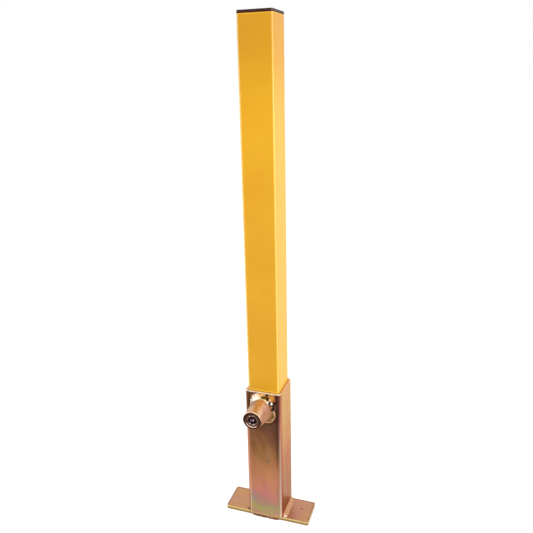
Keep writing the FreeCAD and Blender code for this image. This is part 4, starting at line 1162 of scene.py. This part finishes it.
@dataclass
class HousingWeld:
    """Thick hand-laid bead round the lock housing's foot.

    Attributes:
        half_width: Half the housing's foot, across.
        half_height: Half the housing's foot, up.
        middle: Height of the foot's middle.
        face: The socket's face.
        around: Points along the bead.
        across: Points across it.
        ripple: Height of its ripples, in millimetres.
        course: Angle, width, height and flatness of the bead, width and height in millimetres.
        lumps: Swellings and hollows.
        drops: Blobs on top.
        bead_patches: Patches of other colours: heat colours, painted highlights and painted shade.
    """

    half_width: float = 22 * MM
    half_height: float = 26 * MM
    middle: float = 248.5 * MM
    face: float = -35 * MM
    around: int = 360
    across: int = 26
    ripple: float = 0.06
    course: tuple[tuple[float, float, float, float], ...] = (
        (0, 2.8, 6.6, 0.9), (8, 3.0, 6.4, 0.85), (20, 5.0, 6.4, 0.78), (32, 6.6, 6.4, 0.74),
        (44, 7.6, 6.2, 0.72), (56, 6.2, 6.0, 0.76), (68, 4.6, 5.8, 0.85), (80, 3.8, 5.4, 0.95),
        (110, 4.4, 5.6, 0.95), (130, 5.4, 6.0, 0.95), (150, 4.0, 5.4, 1.0), (170, 3.0, 5.0, 1.0),
        (188, 2.6, 5.0, 1.0), (200, 3.8, 6.0, 1.1), (212, 5.4, 10.0, 1.7), (222, 7.6, 14.0, 2.0),
        (236, 6.4, 16.5, 2.0), (248, 6.0, 16.5, 1.9), (258, 5.0, 15.5, 1.7), (266, 4.6, 14.5, 1.6),
        (276, 4.2, 13.5, 1.7), (286, 3.6, 13.5, 1.8), (296, 2.8, 14.5, 1.9), (306, 2.2, 16.0, 1.8),
        (316, 2.0, 17.0, 1.4), (326, 2.0, 14.0, 1.0), (336, 2.2, 10.0, 1.0), (346, 2.4, 7.4, 1.0))
    lumps: tuple[Lump, ...] = (
        Lump(212, 4, 0.45, 0.5, -2.8), Lump(299, 6, 0.8, 0.4, -0.8), Lump(10, 5, 0.55, 0.5, -0.7),
        Lump(42, 6, 0.5, 0.4, -0.7), Lump(28, 8, 0.5, 0.5, 0.5), Lump(58, 8, 0.5, 0.5, 0.5),
        Lump(95, 12, 0.5, 0.5, 0.4), Lump(130, 12, 0.5, 0.5, 0.5), Lump(160, 12, 0.4, 0.5, -0.4))
    drops: tuple[Drop, ...] = (
        Drop(335, 0.8, 5.6, (10.4, 6.6, 5.6)), Drop(323.5, 2.9, 9.8, (1.9, 1.7, 1.8)),
        Drop(335.5, 0.8, 10.7, (2.0, 1.0, 1.3)), Drop(347, 0.6, 8.6, (4.6, 2.6, 2.8)))
    # The near-white patches and those with less shine are painted highlights. The dark ones are painted shade
    # in the slit at the upper left and the hollow at the top right, and a painted dark reflection on the blob
    # at the upper right. The tan and olive ones at 30, 62 and 281 degrees are heat colours.
    bead_patches: tuple[BeadPatch, ...] = (
        BeadPatch(30, 3.5, 5.0, (11.0, 5.0, 12.0), srgb(206, 156, 108)),
        BeadPatch(62, 2.6, 4.6, (8.0, 4.0, 5.0), srgb(232, 176, 122)),
        BeadPatch(242, 2.5, 8.0, (11.5, 11.0, 9.0), srgb(255, 250, 236), 0.95, 0.45),
        BeadPatch(210, 4.4, 1.2, (2.4, 3.4, 3.6), srgb(255, 246, 226), 1.0),
        BeadPatch(221, 2.4, 8.5, (2.9, 9.0, 3.2), srgb(52, 28, 16), 0.98),
        BeadPatch(274, 3.2, 4.0, (5.0, 4.4, 2.8), srgb(238, 206, 146), 0.9, 0.45),
        BeadPatch(265, 1.4, 10.0, (4.2, 4.0, 3.0), srgb(250, 240, 200), 0.9, 0.3),
        BeadPatch(281, 1.6, 8.0, (5.6, 4.6, 2.8), srgb(92, 84, 32), 0.96),
        BeadPatch(290, 2.8, 2.8, (2.8, 3.4, 2.6), srgb(66, 46, 22), 0.96),
        BeadPatch(297, 2.2, 2.8, (3.2, 3.2, 2.8), srgb(126, 90, 52), 0.96),
        BeadPatch(299.5, 1.3, 5.6, (3.4, 4.8, 3.4), srgb(44, 26, 16), 0.98),
        BeadPatch(288, 0.0, 14.0, (6.0, 3.0, 5.0), srgb(255, 246, 204)),
        BeadPatch(306, 0.3, 13.2, (3.6, 4.0, 4.6), srgb(255, 252, 240)),
        BeadPatch(311, 2.0, 3.6, (2.8, 2.4, 2.8), srgb(255, 250, 236), 0.95, 0.5),
        BeadPatch(318, 1.4, 11.0, (3.2, 4.6, 4.2), srgb(84, 42, 30), 0.95),
        BeadPatch(337, 3.0, 8.0, (7.6, 6.6, 9.6), srgb(84, 42, 30), 0.97),
        BeadPatch(327, 5.8, 8.0, (3.4, 2.8, 4.2), srgb(40, 18, 14), 0.95),
        BeadPatch(323.5, 2.9, 9.8, (2.4, 2.7, 2.3), srgb(255, 252, 246), 1.0, 0.5),
        BeadPatch(335.5, 0.8, 10.9, (1.4, 1.8, 2.6), srgb(222, 182, 116), 1.0, 0.4))

    def along_course(self, turns: np.ndarray, column: int) -> np.ndarray:
        """Read one column of the course at each angle, smoothed."""
        spots = np.array([row[0] for row in self.course], float)
        values = np.array([row[column] for row in self.course], float)
        rough = np.interp(turns, np.concatenate([spots - 360, spots, spots + 360]), np.tile(values, 3))
        kernel = np.exp(-np.linspace(-2, 2, 13) ** 2)
        padded = np.concatenate([rough[-6:], rough, rough[:6]])
        return np.convolve(padded, kernel / kernel.sum(), "valid")

    def relief(self, turns: np.ndarray, levels: np.ndarray) -> np.ndarray:
        """Height added to the bead by its lumps and ripples.

        Args:
            turns: Angle of each point.
            levels: Place of each point across the bead.

        Returns:
            Height along the bead's normal, in metres.
        """
        height = np.zeros_like(turns)
        for lump in self.lumps:
            off = (turns - lump.turn + 180) % 360 - 180
            away = (off / lump.spread) ** 2 + ((levels - lump.level) / lump.reach) ** 2
            height += lump.height * np.exp(-away)
        ripple = np.sin(np.radians(turns * 26) + 2.2 * np.cos(levels * math.pi))
        patchy = 0.5 + 0.5 * np.sin(np.radians(turns * 3 + 40))
        fade = np.clip(levels * 4, 0, 1) * np.clip((1 - levels) * 4, 0, 1)
        return (height + self.ripple * ripple * patchy) * MM * fade

    def on_foot(self, turns: np.ndarray, outset: np.ndarray, stand: np.ndarray) -> np.ndarray:
        """Points at given angles, outside the housing's foot and in front of the socket.

        Args:
            turns: Angle of each point, in degrees.
            outset: Distance outside the housing's foot.
            stand: Distance in front of the socket.

        Returns:
            The points.
        """
        across, down = np.cos(np.radians(turns)), np.sin(np.radians(turns))
        out_x, out_z = across / self.half_width, -down / self.half_height
        size = np.hypot(out_x, out_z)
        return np.stack([self.half_width * across + out_x / size * outset, self.face - stand,
                         self.middle - self.half_height * down + out_z / size * outset], axis=-1)

    def colour_patch(self, bead_patch: BeadPatch) -> ColourPatch:
        """Put a bead patch where it lies round the housing's foot."""
        centre = self.on_foot(np.array(bead_patch.turn), bead_patch.out * MM, bead_patch.stand * MM) / MM
        return ColourPatch(tuple(centre), bead_patch.half, bead_patch.colour, bead_patch.share, bead_patch.dulling)

    def finish(self) -> WeldMetal:
        """The bead's metal with its patches."""
        return WeldMetal("plated_weld", 0.11, colour_patches=tuple(self.colour_patch(bead_patch) for bead_patch in self.bead_patches))

    def sweep(self) -> tuple[np.ndarray, list[tuple[int, ...]]]:
        """Sweep a rounded section round the housing's foot and close it behind.

        Returns:
            The points and the faces.
        """
        turns = np.linspace(0, 360, self.around, endpoint=False)
        width, height, flatness = (self.along_course(turns, column)[:, None] for column in (1, 2, 3))
        turn_grid, level_grid = np.meshgrid(turns, np.linspace(0, 1, self.across), indexing="ij")
        arc = level_grid * math.pi / 2
        lift = self.relief(turn_grid, level_grid)
        stand = height * MM * np.cos(arc) ** flatness + lift * np.cos(arc)
        fall = np.sin(np.radians(turn_grid))
        slope = 0.09 + 0.09 * np.clip(fall, -1, 0) + 0.3 * np.clip(fall, 0, 1)
        sunk = (1 - level_grid) ** 2 * (0.6 * MM + slope * stand)
        outset = width * MM * np.sin(arc) ** flatness + lift * np.sin(arc) - sunk
        grid = self.on_foot(turn_grid, outset, stand)
        rows = [grid[:, i] for i in range(self.across)]
        inner = rows[0].copy()
        inner[:, 1] = self.face + 0.6 * MM
        rows += [rows[-1] + np.array([0, 0.6 * MM, 0]), inner]
        starts = [row * self.around for row in range(len(rows))]
        return np.concatenate(rows), between(starts, starts[1:] + starts[:1], self.around)

    def blob(self, drop: Drop, rings: int = 24, spokes: int = 40) -> tuple[np.ndarray, list[tuple[int, ...]]]:
        """Round off one drop.

        Args:
            drop: The drop.
            rings: Rings from pole to pole.
            spokes: Points on each ring.

        Returns:
            The points and the faces.
        """
        turn, stand = np.array(drop.turn), drop.stand * MM
        middle = self.on_foot(turn, drop.out * MM, stand)
        outward = self.on_foot(turn, (drop.out + 1) * MM, stand) - middle
        outward /= np.linalg.norm(outward)
        off = np.array([0.0, -1.0, 0.0])
        along = np.cross(off, outward)
        axes = np.stack([along, outward, off]) * np.array(drop.half)[:, None] * MM
        lat = np.linspace(0, math.pi, rings + 1)[1:-1]
        lon = np.linspace(0, 2 * math.pi, spokes, endpoint=False)
        lat_grid, lon_grid = np.meshgrid(lat, lon, indexing="ij")
        ball = np.stack([np.cos(lat_grid), np.sin(lat_grid) * np.cos(lon_grid),
                         np.sin(lat_grid) * np.sin(lon_grid)], axis=-1).reshape(-1, 3)
        ball = np.concatenate([ball, [[1, 0, 0], [-1, 0, 0]]])
        first_pole, last_pole, last_ring = len(ball) - 2, len(ball) - 1, (rings - 2) * spokes
        starts = [ring * spokes for ring in range(rings - 1)]
        faces = between(starts[:-1], starts[1:], spokes)
        for spoke in range(spokes):
            beside = (spoke + 1) % spokes
            faces += [(first_pole, beside, spoke), (last_pole, last_ring + spoke, last_ring + beside)]
        return middle + ball @ axes, faces

    def build(self) -> None:
        """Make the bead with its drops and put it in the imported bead's place."""
        points, faces = self.sweep()
        for drop in self.drops:
            more, further = self.blob(drop)
            faces += [tuple(number + len(points) for number in face) for face in further]
            points = np.concatenate([points, more])
        piece = link("housing_bead", smooth_mesh("housing_bead", points, faces))
        piece.data.materials.append(self.finish().material())
        settle(piece, Body.BASE, Slot.WELD, "housing_weld")


@dataclass
class FootWeld:
    """Fillet weld along one side of the socket's foot, with the ripples of a hand-held torch.

    Attributes:
        name: The piece's name.
        replaced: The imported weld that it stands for.
        side: 1 or -1, the side of the socket that it is on.
        under: Whether it lies under the overhang, along X, or beside the socket, along Y.
        corner: The corner that it fills: distance from the socket's middle, and height.
        legs: How far it reaches out of that corner, outward and up or down.
        half_run: Half its length.
        fullness: 1 for a round face, 2 for a flat one.
        stops: How blunt its ends are.
        seed: Shifts its unevenness.
        pitch: Length of one ripple.
        along: Points along it.
        around: Points round its section.
        finish: Its metal.
    """

    name: str
    replaced: str
    side: float
    under: bool = False
    corner: tuple[float, float] = (35 * MM, PLATE_TOP)
    legs: tuple[float, float] = (8.4 * MM, 6.8 * MM)
    half_run: float = 29.2 * MM
    fullness: float = 2.1
    stops: float = 14.0
    seed: float = 0.0
    pitch: float = 2.2 * MM
    along: int = 181
    around: int = 33
    finish: Finish = FOOT_WELD

    def build(self) -> None:
        """Grow the bead along the socket and keep it as a mesh."""
        growth = Growth(self.name, {
            "Corner Out": self.corner[0], "Corner Height": self.corner[1], "Leg Out": self.legs[0],
            "Leg Up": self.legs[1], "Half Run": self.half_run, "Fullness": self.fullness,
            "Stops": self.stops, "Ripple Pitch": self.pitch, "Seed": self.seed})
        desk, entry = growth.desk, growth.entry
        grid = desk.shape("GeometryNodeMeshGrid", {
            "Size X": 1.0, "Size Y": 1.0, "Vertices X": self.along, "Vertices Y": self.around})
        along, turn, _ = desk.parts(desk.add("GeometryNodeInputPosition").outputs[0])
        run = desk.times(along, 2.0)
        angle = desk.times(turn, 2 * math.pi)
        far = desk.times(run, entry["Half Run"])
        taper = desk.minus(1.0, desk.maths("POWER", desk.maths("ABSOLUTE", run), entry["Stops"]))
        taper = desk.maths("SQRT", desk.larger(taper, 0.0))
        uneven = desk.add("ShaderNodeTexNoise", noise_dimensions="1D", inputs={
            "W": desk.plus(far, entry["Seed"]), "Scale": 150.0, "Detail": 1.0})
        swell = desk.scaled(uneven.outputs["Fac"], 0.16, 0.88)
        slant = desk.times(desk.maths("COSINE", angle), 1.1)
        phase = desk.times(desk.maths("DIVIDE", far, entry["Ripple Pitch"]), 2 * math.pi)
        wave = desk.maths("SINE", desk.plus(phase, slant))
        reach = desk.times(desk.scaled(wave, 0.012, swell), taper)

        def leg(wave_kind: str, length: str) -> Socket:
            """One leg of the section: full outside, slim where it is buried in the steel."""
            raw = desk.maths(wave_kind, angle)
            size = desk.maths("POWER", desk.maths("ABSOLUTE", raw), entry["Fullness"])
            signed = desk.times(size, desk.maths("SIGN", raw))
            full = desk.larger(signed, desk.times(signed, 0.12))
            return desk.times(full, reach, entry[length])

        out = desk.times(desk.plus(leg("COSINE", "Leg Out"), entry["Corner Out"]), self.side)
        up = desk.plus(leg("SINE", "Leg Up"), entry["Corner Height"])
        spot = desk.vector(far, out, up) if self.under else desk.vector(out, far, up)
        bead = desk.shape("GeometryNodeSetPosition", {"Geometry": grid, "Position": spot})
        bead = desk.shape("GeometryNodeMergeByDistance", {"Geometry": bead, "Distance": 0.002 * MM})
        if (self.side > 0) != self.under:
            bead = desk.shape("GeometryNodeFlipFaces", {"Mesh": bead})
        settle(growth.finish(bead, self.finish), Body.BASE, Slot.WELD, self.replaced)


@dataclass
class PinRing:
    """What stands on the ring of the lock's seven pins: the springs and the key pins.

    Attributes:
        count: How many pins there are.
        ring: Radius of the ring that they stand on.
        pin_radius: Radius of a pin.
        dome: Height of a key pin's rounded end.
        first_turn: Where the first pin stands, in radians from the right.
        spring_front: Where the springs start, front to back.
        spring_length: Length of a spring.
        spring_wire: Radius of its wire.
        spring_turns: How many turns it has.
        shear: Where the key pins end, front to back.
        pin_lengths: Length of each key pin, in millimetres.
    """

    count: int = 7
    ring: float = 5.4 * MM
    pin_radius: float = 0.95 * MM
    dome: float = 0.45 * MM
    first_turn: float = math.radians(180 / 7 - 90)
    spring_front: float = -75 * MM
    spring_length: float = 7 * MM
    spring_wire: float = 0.16 * MM
    spring_turns: float = 9.0
    shear: float = -78.06 * MM
    pin_lengths: tuple[float, ...] = (7.2, 8.0, 6.8, 8.4, 7.6, 7.2, 8.0)

    def seed(self) -> bpy.types.Mesh:
        """Points of the ring in the lock's own frame, each with its pin's length."""
        turns = self.first_turn + np.arange(self.count) * 2 * math.pi / self.count
        points = np.stack([np.cos(turns) * self.ring, np.sin(turns) * self.ring, np.zeros(self.count)], axis=1)
        mesh = smooth_mesh("pin_ring", points, [])
        lengths = mesh.attributes.new("pin_length", "FLOAT", "POINT")
        lengths.data.foreach_set("value", np.array(self.pin_lengths, np.float32) * MM)
        return mesh

    def laid(self, desk: NodeDesk, geometry: Socket, depth: float) -> Socket:
        """Lay geometry along the lock's axis, its own Z pointing to the post."""
        return desk.shape("GeometryNodeTransform", {
            "Geometry": geometry, "Rotation": (-math.pi / 2, 0.0, 0.0), "Translation": (0.0, depth, LOCK_AXIS)})

    def on_points(self, desk: NodeDesk, points: Socket, shape: Socket, **scale: object) -> Socket:
        """Put a copy of a shape on each point."""
        return desk.shape("GeometryNodeInstanceOnPoints", {"Points": points, "Instance": shape, **scale})

    def springs(self) -> None:
        """Wind a coil behind each driver pin."""
        growth = Growth("pin_coils", {
            "Turns": self.spring_turns, "Coil Radius": self.pin_radius - self.spring_wire,
            "Wire Radius": self.spring_wire, "Length": self.spring_length})
        desk, entry = growth.desk, growth.entry
        free = desk.minus(entry["Length"], desk.times(entry["Wire Radius"], 2.0))
        spiral = desk.shape("GeometryNodeCurveSpiral", {
            "Resolution": 18, "Rotations": entry["Turns"], "Start Radius": entry["Coil Radius"],
            "End Radius": entry["Coil Radius"], "Height": free})
        wire = desk.shape("GeometryNodeCurvePrimitiveCircle", {"Resolution": 8, "Radius": entry["Wire Radius"]})
        coil = desk.shape("GeometryNodeCurveToMesh", {
            "Curve": spiral, "Profile Curve": wire, "Fill Caps": True})
        copies = self.on_points(desk, entry["Geometry"], coil)
        coils = self.laid(desk, copies, self.spring_front + self.spring_wire)
        piece = growth.finish(coils, PLAIN_STEEL, self.seed())
        settle(piece, Body.BASE, Slot.STEEL, "pin_springs")

    def key_pins(self) -> None:
        """Stand a domed pin of its own length on each point, its back at the shear line."""
        growth = Growth("domed_key_pins", {"Pin Radius": self.pin_radius, "Dome Height": self.dome})
        desk, entry = growth.desk, growth.entry
        length = desk.add("GeometryNodeInputNamedAttribute", {"Name": "pin_length"}, data_type="FLOAT")
        straight = desk.minus(length.outputs["Attribute"], entry["Dome Height"])
        shank = desk.shape("GeometryNodeMeshCylinder", {
            "Vertices": 24, "Radius": entry["Pin Radius"], "Depth": 1.0})
        shank = desk.shape("GeometryNodeTransform", {"Geometry": shank, "Translation": (0.0, 0.0, -0.5)})
        shanks = self.on_points(desk, entry["Geometry"], shank, Scale=desk.vector(1.0, 1.0, straight))
        ball = desk.shape("GeometryNodeMeshUVSphere", {"Segments": 24, "Rings": 12, "Radius": 1.0})
        fronts = desk.shape("GeometryNodeSetPosition", {
            "Geometry": entry["Geometry"], "Offset": desk.vector(0.0, 0.0, desk.times(straight, -1.0))})
        domes = self.on_points(desk, fronts, ball, Scale=desk.vector(
            entry["Pin Radius"], entry["Pin Radius"], entry["Dome Height"]))
        both = desk.add("GeometryNodeJoinGeometry")
        desk.feed(both.inputs[0], shanks)
        desk.feed(both.inputs[0], domes)
        piece = growth.finish(self.laid(desk, both.outputs[0], self.shear), KEYWAY_NICKEL, self.seed())
        settle(piece, Body.PLUG, Slot.BRASS, "key_pins")


@dataclass
class Post:
    """The lifting post: a painted square tube with a plastic cap."""

    def build(self) -> None:
        """Dress the tube and the cap."""
        dress_node("post_tube", POWDER_COAT)
        dress_node("post_cap", CAP_PLASTIC)


@dataclass
class SocketBase:
    """The floor socket on its foot plate, with its rest pin and welds."""

    def build(self) -> None:
        """Dress the plated steel and lay the foot welds."""
        dress_node("socket_tube", SOCKET_PLATE)
        dress_node("base_plate", FOOT_PLATE)
        dress_node("rest_pin", PIN_PLATE)
        FootWeld("foot_bead_right", "foot_weld_right", 1.0, seed=1.0).build()
        FootWeld("foot_bead_left", "foot_weld_left", -1.0, seed=2.0).build()
        for end, side in (("front", -1.0), ("back", 1.0)):
            FootWeld("foot_bead_" + end, "foot_weld_" + end, side, under=True, corner=(30 * MM, PLATE_TOP),
                     legs=(4.9 * MM, -7.6 * MM), half_run=30.5 * MM, fullness=0.3, stops=9.0, seed=side,
                     finish=SHADED_UNDER_WELD).build()


@dataclass
class Lock:
    """The lock: its housing and bead, the cylinder in it and the bolt behind."""

    def build(self) -> None:
        """Dress the lock's nodes and make its bead, springs and key pins."""
        dress_node("lock_housing", HOUSING_PLATE)
        HousingWeld().build()
        dress_node("lock_barrel", LOCK_NICKEL)
        dress_node("lock_plug", KEYWAY_NICKEL)
        for name in ("pin_block", "driver_pins", "bolt_bush"):
            dress_node(name, LOCK_BRASS)
        for name in ("block_pin", "plug_clip", "barrel_screw", "guide_pin", "lock_bolt"):
            dress_node(name, PLAIN_STEEL)
        pins = PinRing()
        pins.springs()
        pins.key_pins()


@dataclass(frozen=True)
class Softbox:
    """A studio light that faces the bollard.

    Attributes:
        name: Its name.
        towards: Direction from the target to the light.
        distance: Distance from the target.
        size: Its width and height.
        radiance: Brightness of its face.
        target: The point that it faces.
    """

    name: str
    towards: tuple[float, float, float]
    distance: float
    size: tuple[float, float]
    radiance: float
    target: tuple[float, float, float] = (0.0, 0.0, 0.45)

    def build(self) -> None:
        """Put the light in the scene."""
        light = bpy.data.lights.new(self.name, "AREA")
        light.shape = "RECTANGLE"
        light.size, light.size_y = self.size
        light.energy = self.radiance * 4 * self.size[0] * self.size[1]
        lamp = bpy.data.objects.new(self.name, light)
        away = Vector(self.towards).normalized()
        lamp.location = Vector(self.target) + away * self.distance
        lamp.rotation_euler = away.to_track_quat("Z", "Y").to_euler()
        lamp.visible_camera = False
        bpy.context.scene.collection.objects.link(lamp)
        LOG.info("light %s, %.1f W", self.name, light.energy)


@dataclass
class Studio:
    """Camera at the photograph's angle, soft lights, a pale floor and a pale backdrop.

    Attributes:
        eye: Where the camera stands.
        yaw: How far it turns to the left, in degrees.
        pitch: How far it looks down, in degrees.
        roll: How far it tilts, in degrees.
        lens: Its focal length, in millimetres.
        sensor: Width of its picture, in millimetres.
        front: Direction of the dim front of the room.
        floor_half: Half the floor's width.
        softboxes: The lights.
    """

    eye: tuple[float, float, float] = (0.32111, -0.92606, 0.82255)
    yaw: float = 19.067
    pitch: float = 17.523
    roll: float = -1.227
    lens: float = 39.23
    sensor: float = 36.0
    front: tuple[float, float] = (0.087, -0.996)
    floor_half: float = 60.0
    softboxes: tuple[Softbox, ...] = (
        Softbox("overhead_front", (0.08, -0.57, 0.79), 3.4, (3.0, 1.4), 2.9, (0.0, 0.0, 0.27)),
        Softbox("key_left", (-0.88, -0.34, 0.3), 4.0, (2.0, 3.0), 2.4),
        Softbox("fill_right", (0.85, -0.35, 0.3), 4.0, (2.0, 3.0), 4.4),
    )

    def camera(self) -> None:
        """Stand the camera where the photograph was taken from."""
        yaw, pitch, roll = (math.radians(turn) for turn in (self.yaw, self.pitch, self.roll))
        ahead = Vector((-math.sin(yaw) * math.cos(pitch), math.cos(yaw) * math.cos(pitch), -math.sin(pitch)))
        level = Vector((math.cos(yaw), math.sin(yaw), 0.0))
        above = level.cross(ahead)
        right = math.cos(roll) * level + math.sin(roll) * above
        up = math.cos(roll) * above - math.sin(roll) * level
        data = bpy.data.cameras.new("camera")
        data.lens, data.sensor_width = self.lens, self.sensor
        data.clip_start, data.clip_end = 0.01, 200.0
        camera = bpy.data.objects.new("camera", data)
        camera.matrix_world = Matrix.Translation(self.eye) @ Matrix((right, up, -ahead)).transposed().to_4x4()
        bpy.context.scene.collection.objects.link(camera)
        bpy.context.scene.camera = camera
        LOG.info("camera with a %.1f mm lens", self.lens)

    def floor(self) -> None:
        """Lay the pale floor that the plate stands on."""
        half = self.floor_half
        corners = np.array([(-half, -half, 0), (half, -half, 0), (half, half, 0), (-half, half, 0)])
        floor = link("studio_floor", smooth_mesh("studio_floor", corners, [(0, 1, 2, 3)]))
        floor.data.materials.append(self.floor_material())

    def frontward(self, desk: NodeDesk, x: Socket, y: Socket) -> Socket:
        """Return how far a place or a direction lies to the dim front of the room."""
        return desk.plus(desk.times(x, self.front[0]), desk.times(y, self.front[1]))

    def floor_material(self) -> bpy.types.Material:
        """Pale floor whose front part is dim in reflections, as in a studio with dark walls ahead."""
        made = bpy.data.materials.new("pale_floor")
        made.use_nodes = True
        desk = NodeDesk(made.node_tree)
        desk.tree.nodes.remove(desk.tree.nodes["Principled BSDF"])
        x, y, _ = desk.parts(desk.place())
        away = desk.hypotenuse(x, y)
        turned = desk.maths("DIVIDE", self.frontward(desk, x, y), desk.larger(away, 1 * MM))
        ahead = desk.rise(turned, 0.25, 0.85)
        dim = desk.times(ahead, desk.rise(away, 0.03, 0.32))
        strength = desk.scaled(dim, -0.72, 1.0)
        glow = desk.add("ShaderNodeEmission", {"Color": (1.0, 0.98, 0.95, 1.0), "Strength": strength})
        base = desk.add("ShaderNodeEmission", {"Strength": 0.86})
        matt = desk.add("ShaderNodeBsdfDiffuse", {"Color": (0.3, 0.3, 0.3, 1.0)})
        seen = desk.add("ShaderNodeAddShader")
        desk.feed(seen.inputs[0], base.outputs[0])
        desk.feed(seen.inputs[1], matt.outputs[0])
        path = desk.add("ShaderNodeLightPath")
        choose = desk.add("ShaderNodeMixShader")
        for index, value in enumerate((path.outputs["Is Glossy Ray"], seen.outputs[0], glow.outputs[0])):
            desk.feed(choose.inputs[index], value)
        desk.feed(desk.tree.nodes["Material Output"].inputs["Surface"], choose.outputs[0])
        return made

    def world(self) -> None:
        """Surround the bollard with a white backdrop behind and a dim room in front."""
        world = bpy.data.worlds.new("studio")
        world.use_nodes = True
        bpy.context.scene.world = world
        desk = NodeDesk(world.node_tree)
        x, y, _ = desk.parts(desk.add("ShaderNodeTexCoord").outputs["Generated"])
        dim = desk.scaled(desk.rise(self.frontward(desk, x, y), -0.15, 0.6), -0.94, 1.0)
        path = desk.add("ShaderNodeLightPath")
        strength = desk.larger(dim, path.outputs["Is Camera Ray"])
        background = world.node_tree.nodes["Background"]
        desk.feed(background.inputs["Color"], (1.0, 1.0, 1.0, 1.0))
        desk.feed(background.inputs["Strength"], strength)

    def build(self) -> None:
        """Set the whole studio."""
        self.camera()
        self.floor()
        self.world()
        for softbox in self.softboxes:
            softbox.build()
        bpy.context.scene.view_settings.view_transform = "Standard"
        bpy.context.scene.view_settings.look = "None"


def main() -> None:
    """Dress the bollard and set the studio."""
    logging.basicConfig(level=logging.INFO, format="%(name)s: %(message)s")
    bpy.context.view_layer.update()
    for assembly in (Post(), SocketBase(), Lock(), Studio()):
        assembly.build()


if __name__ == "__main__":
    main()
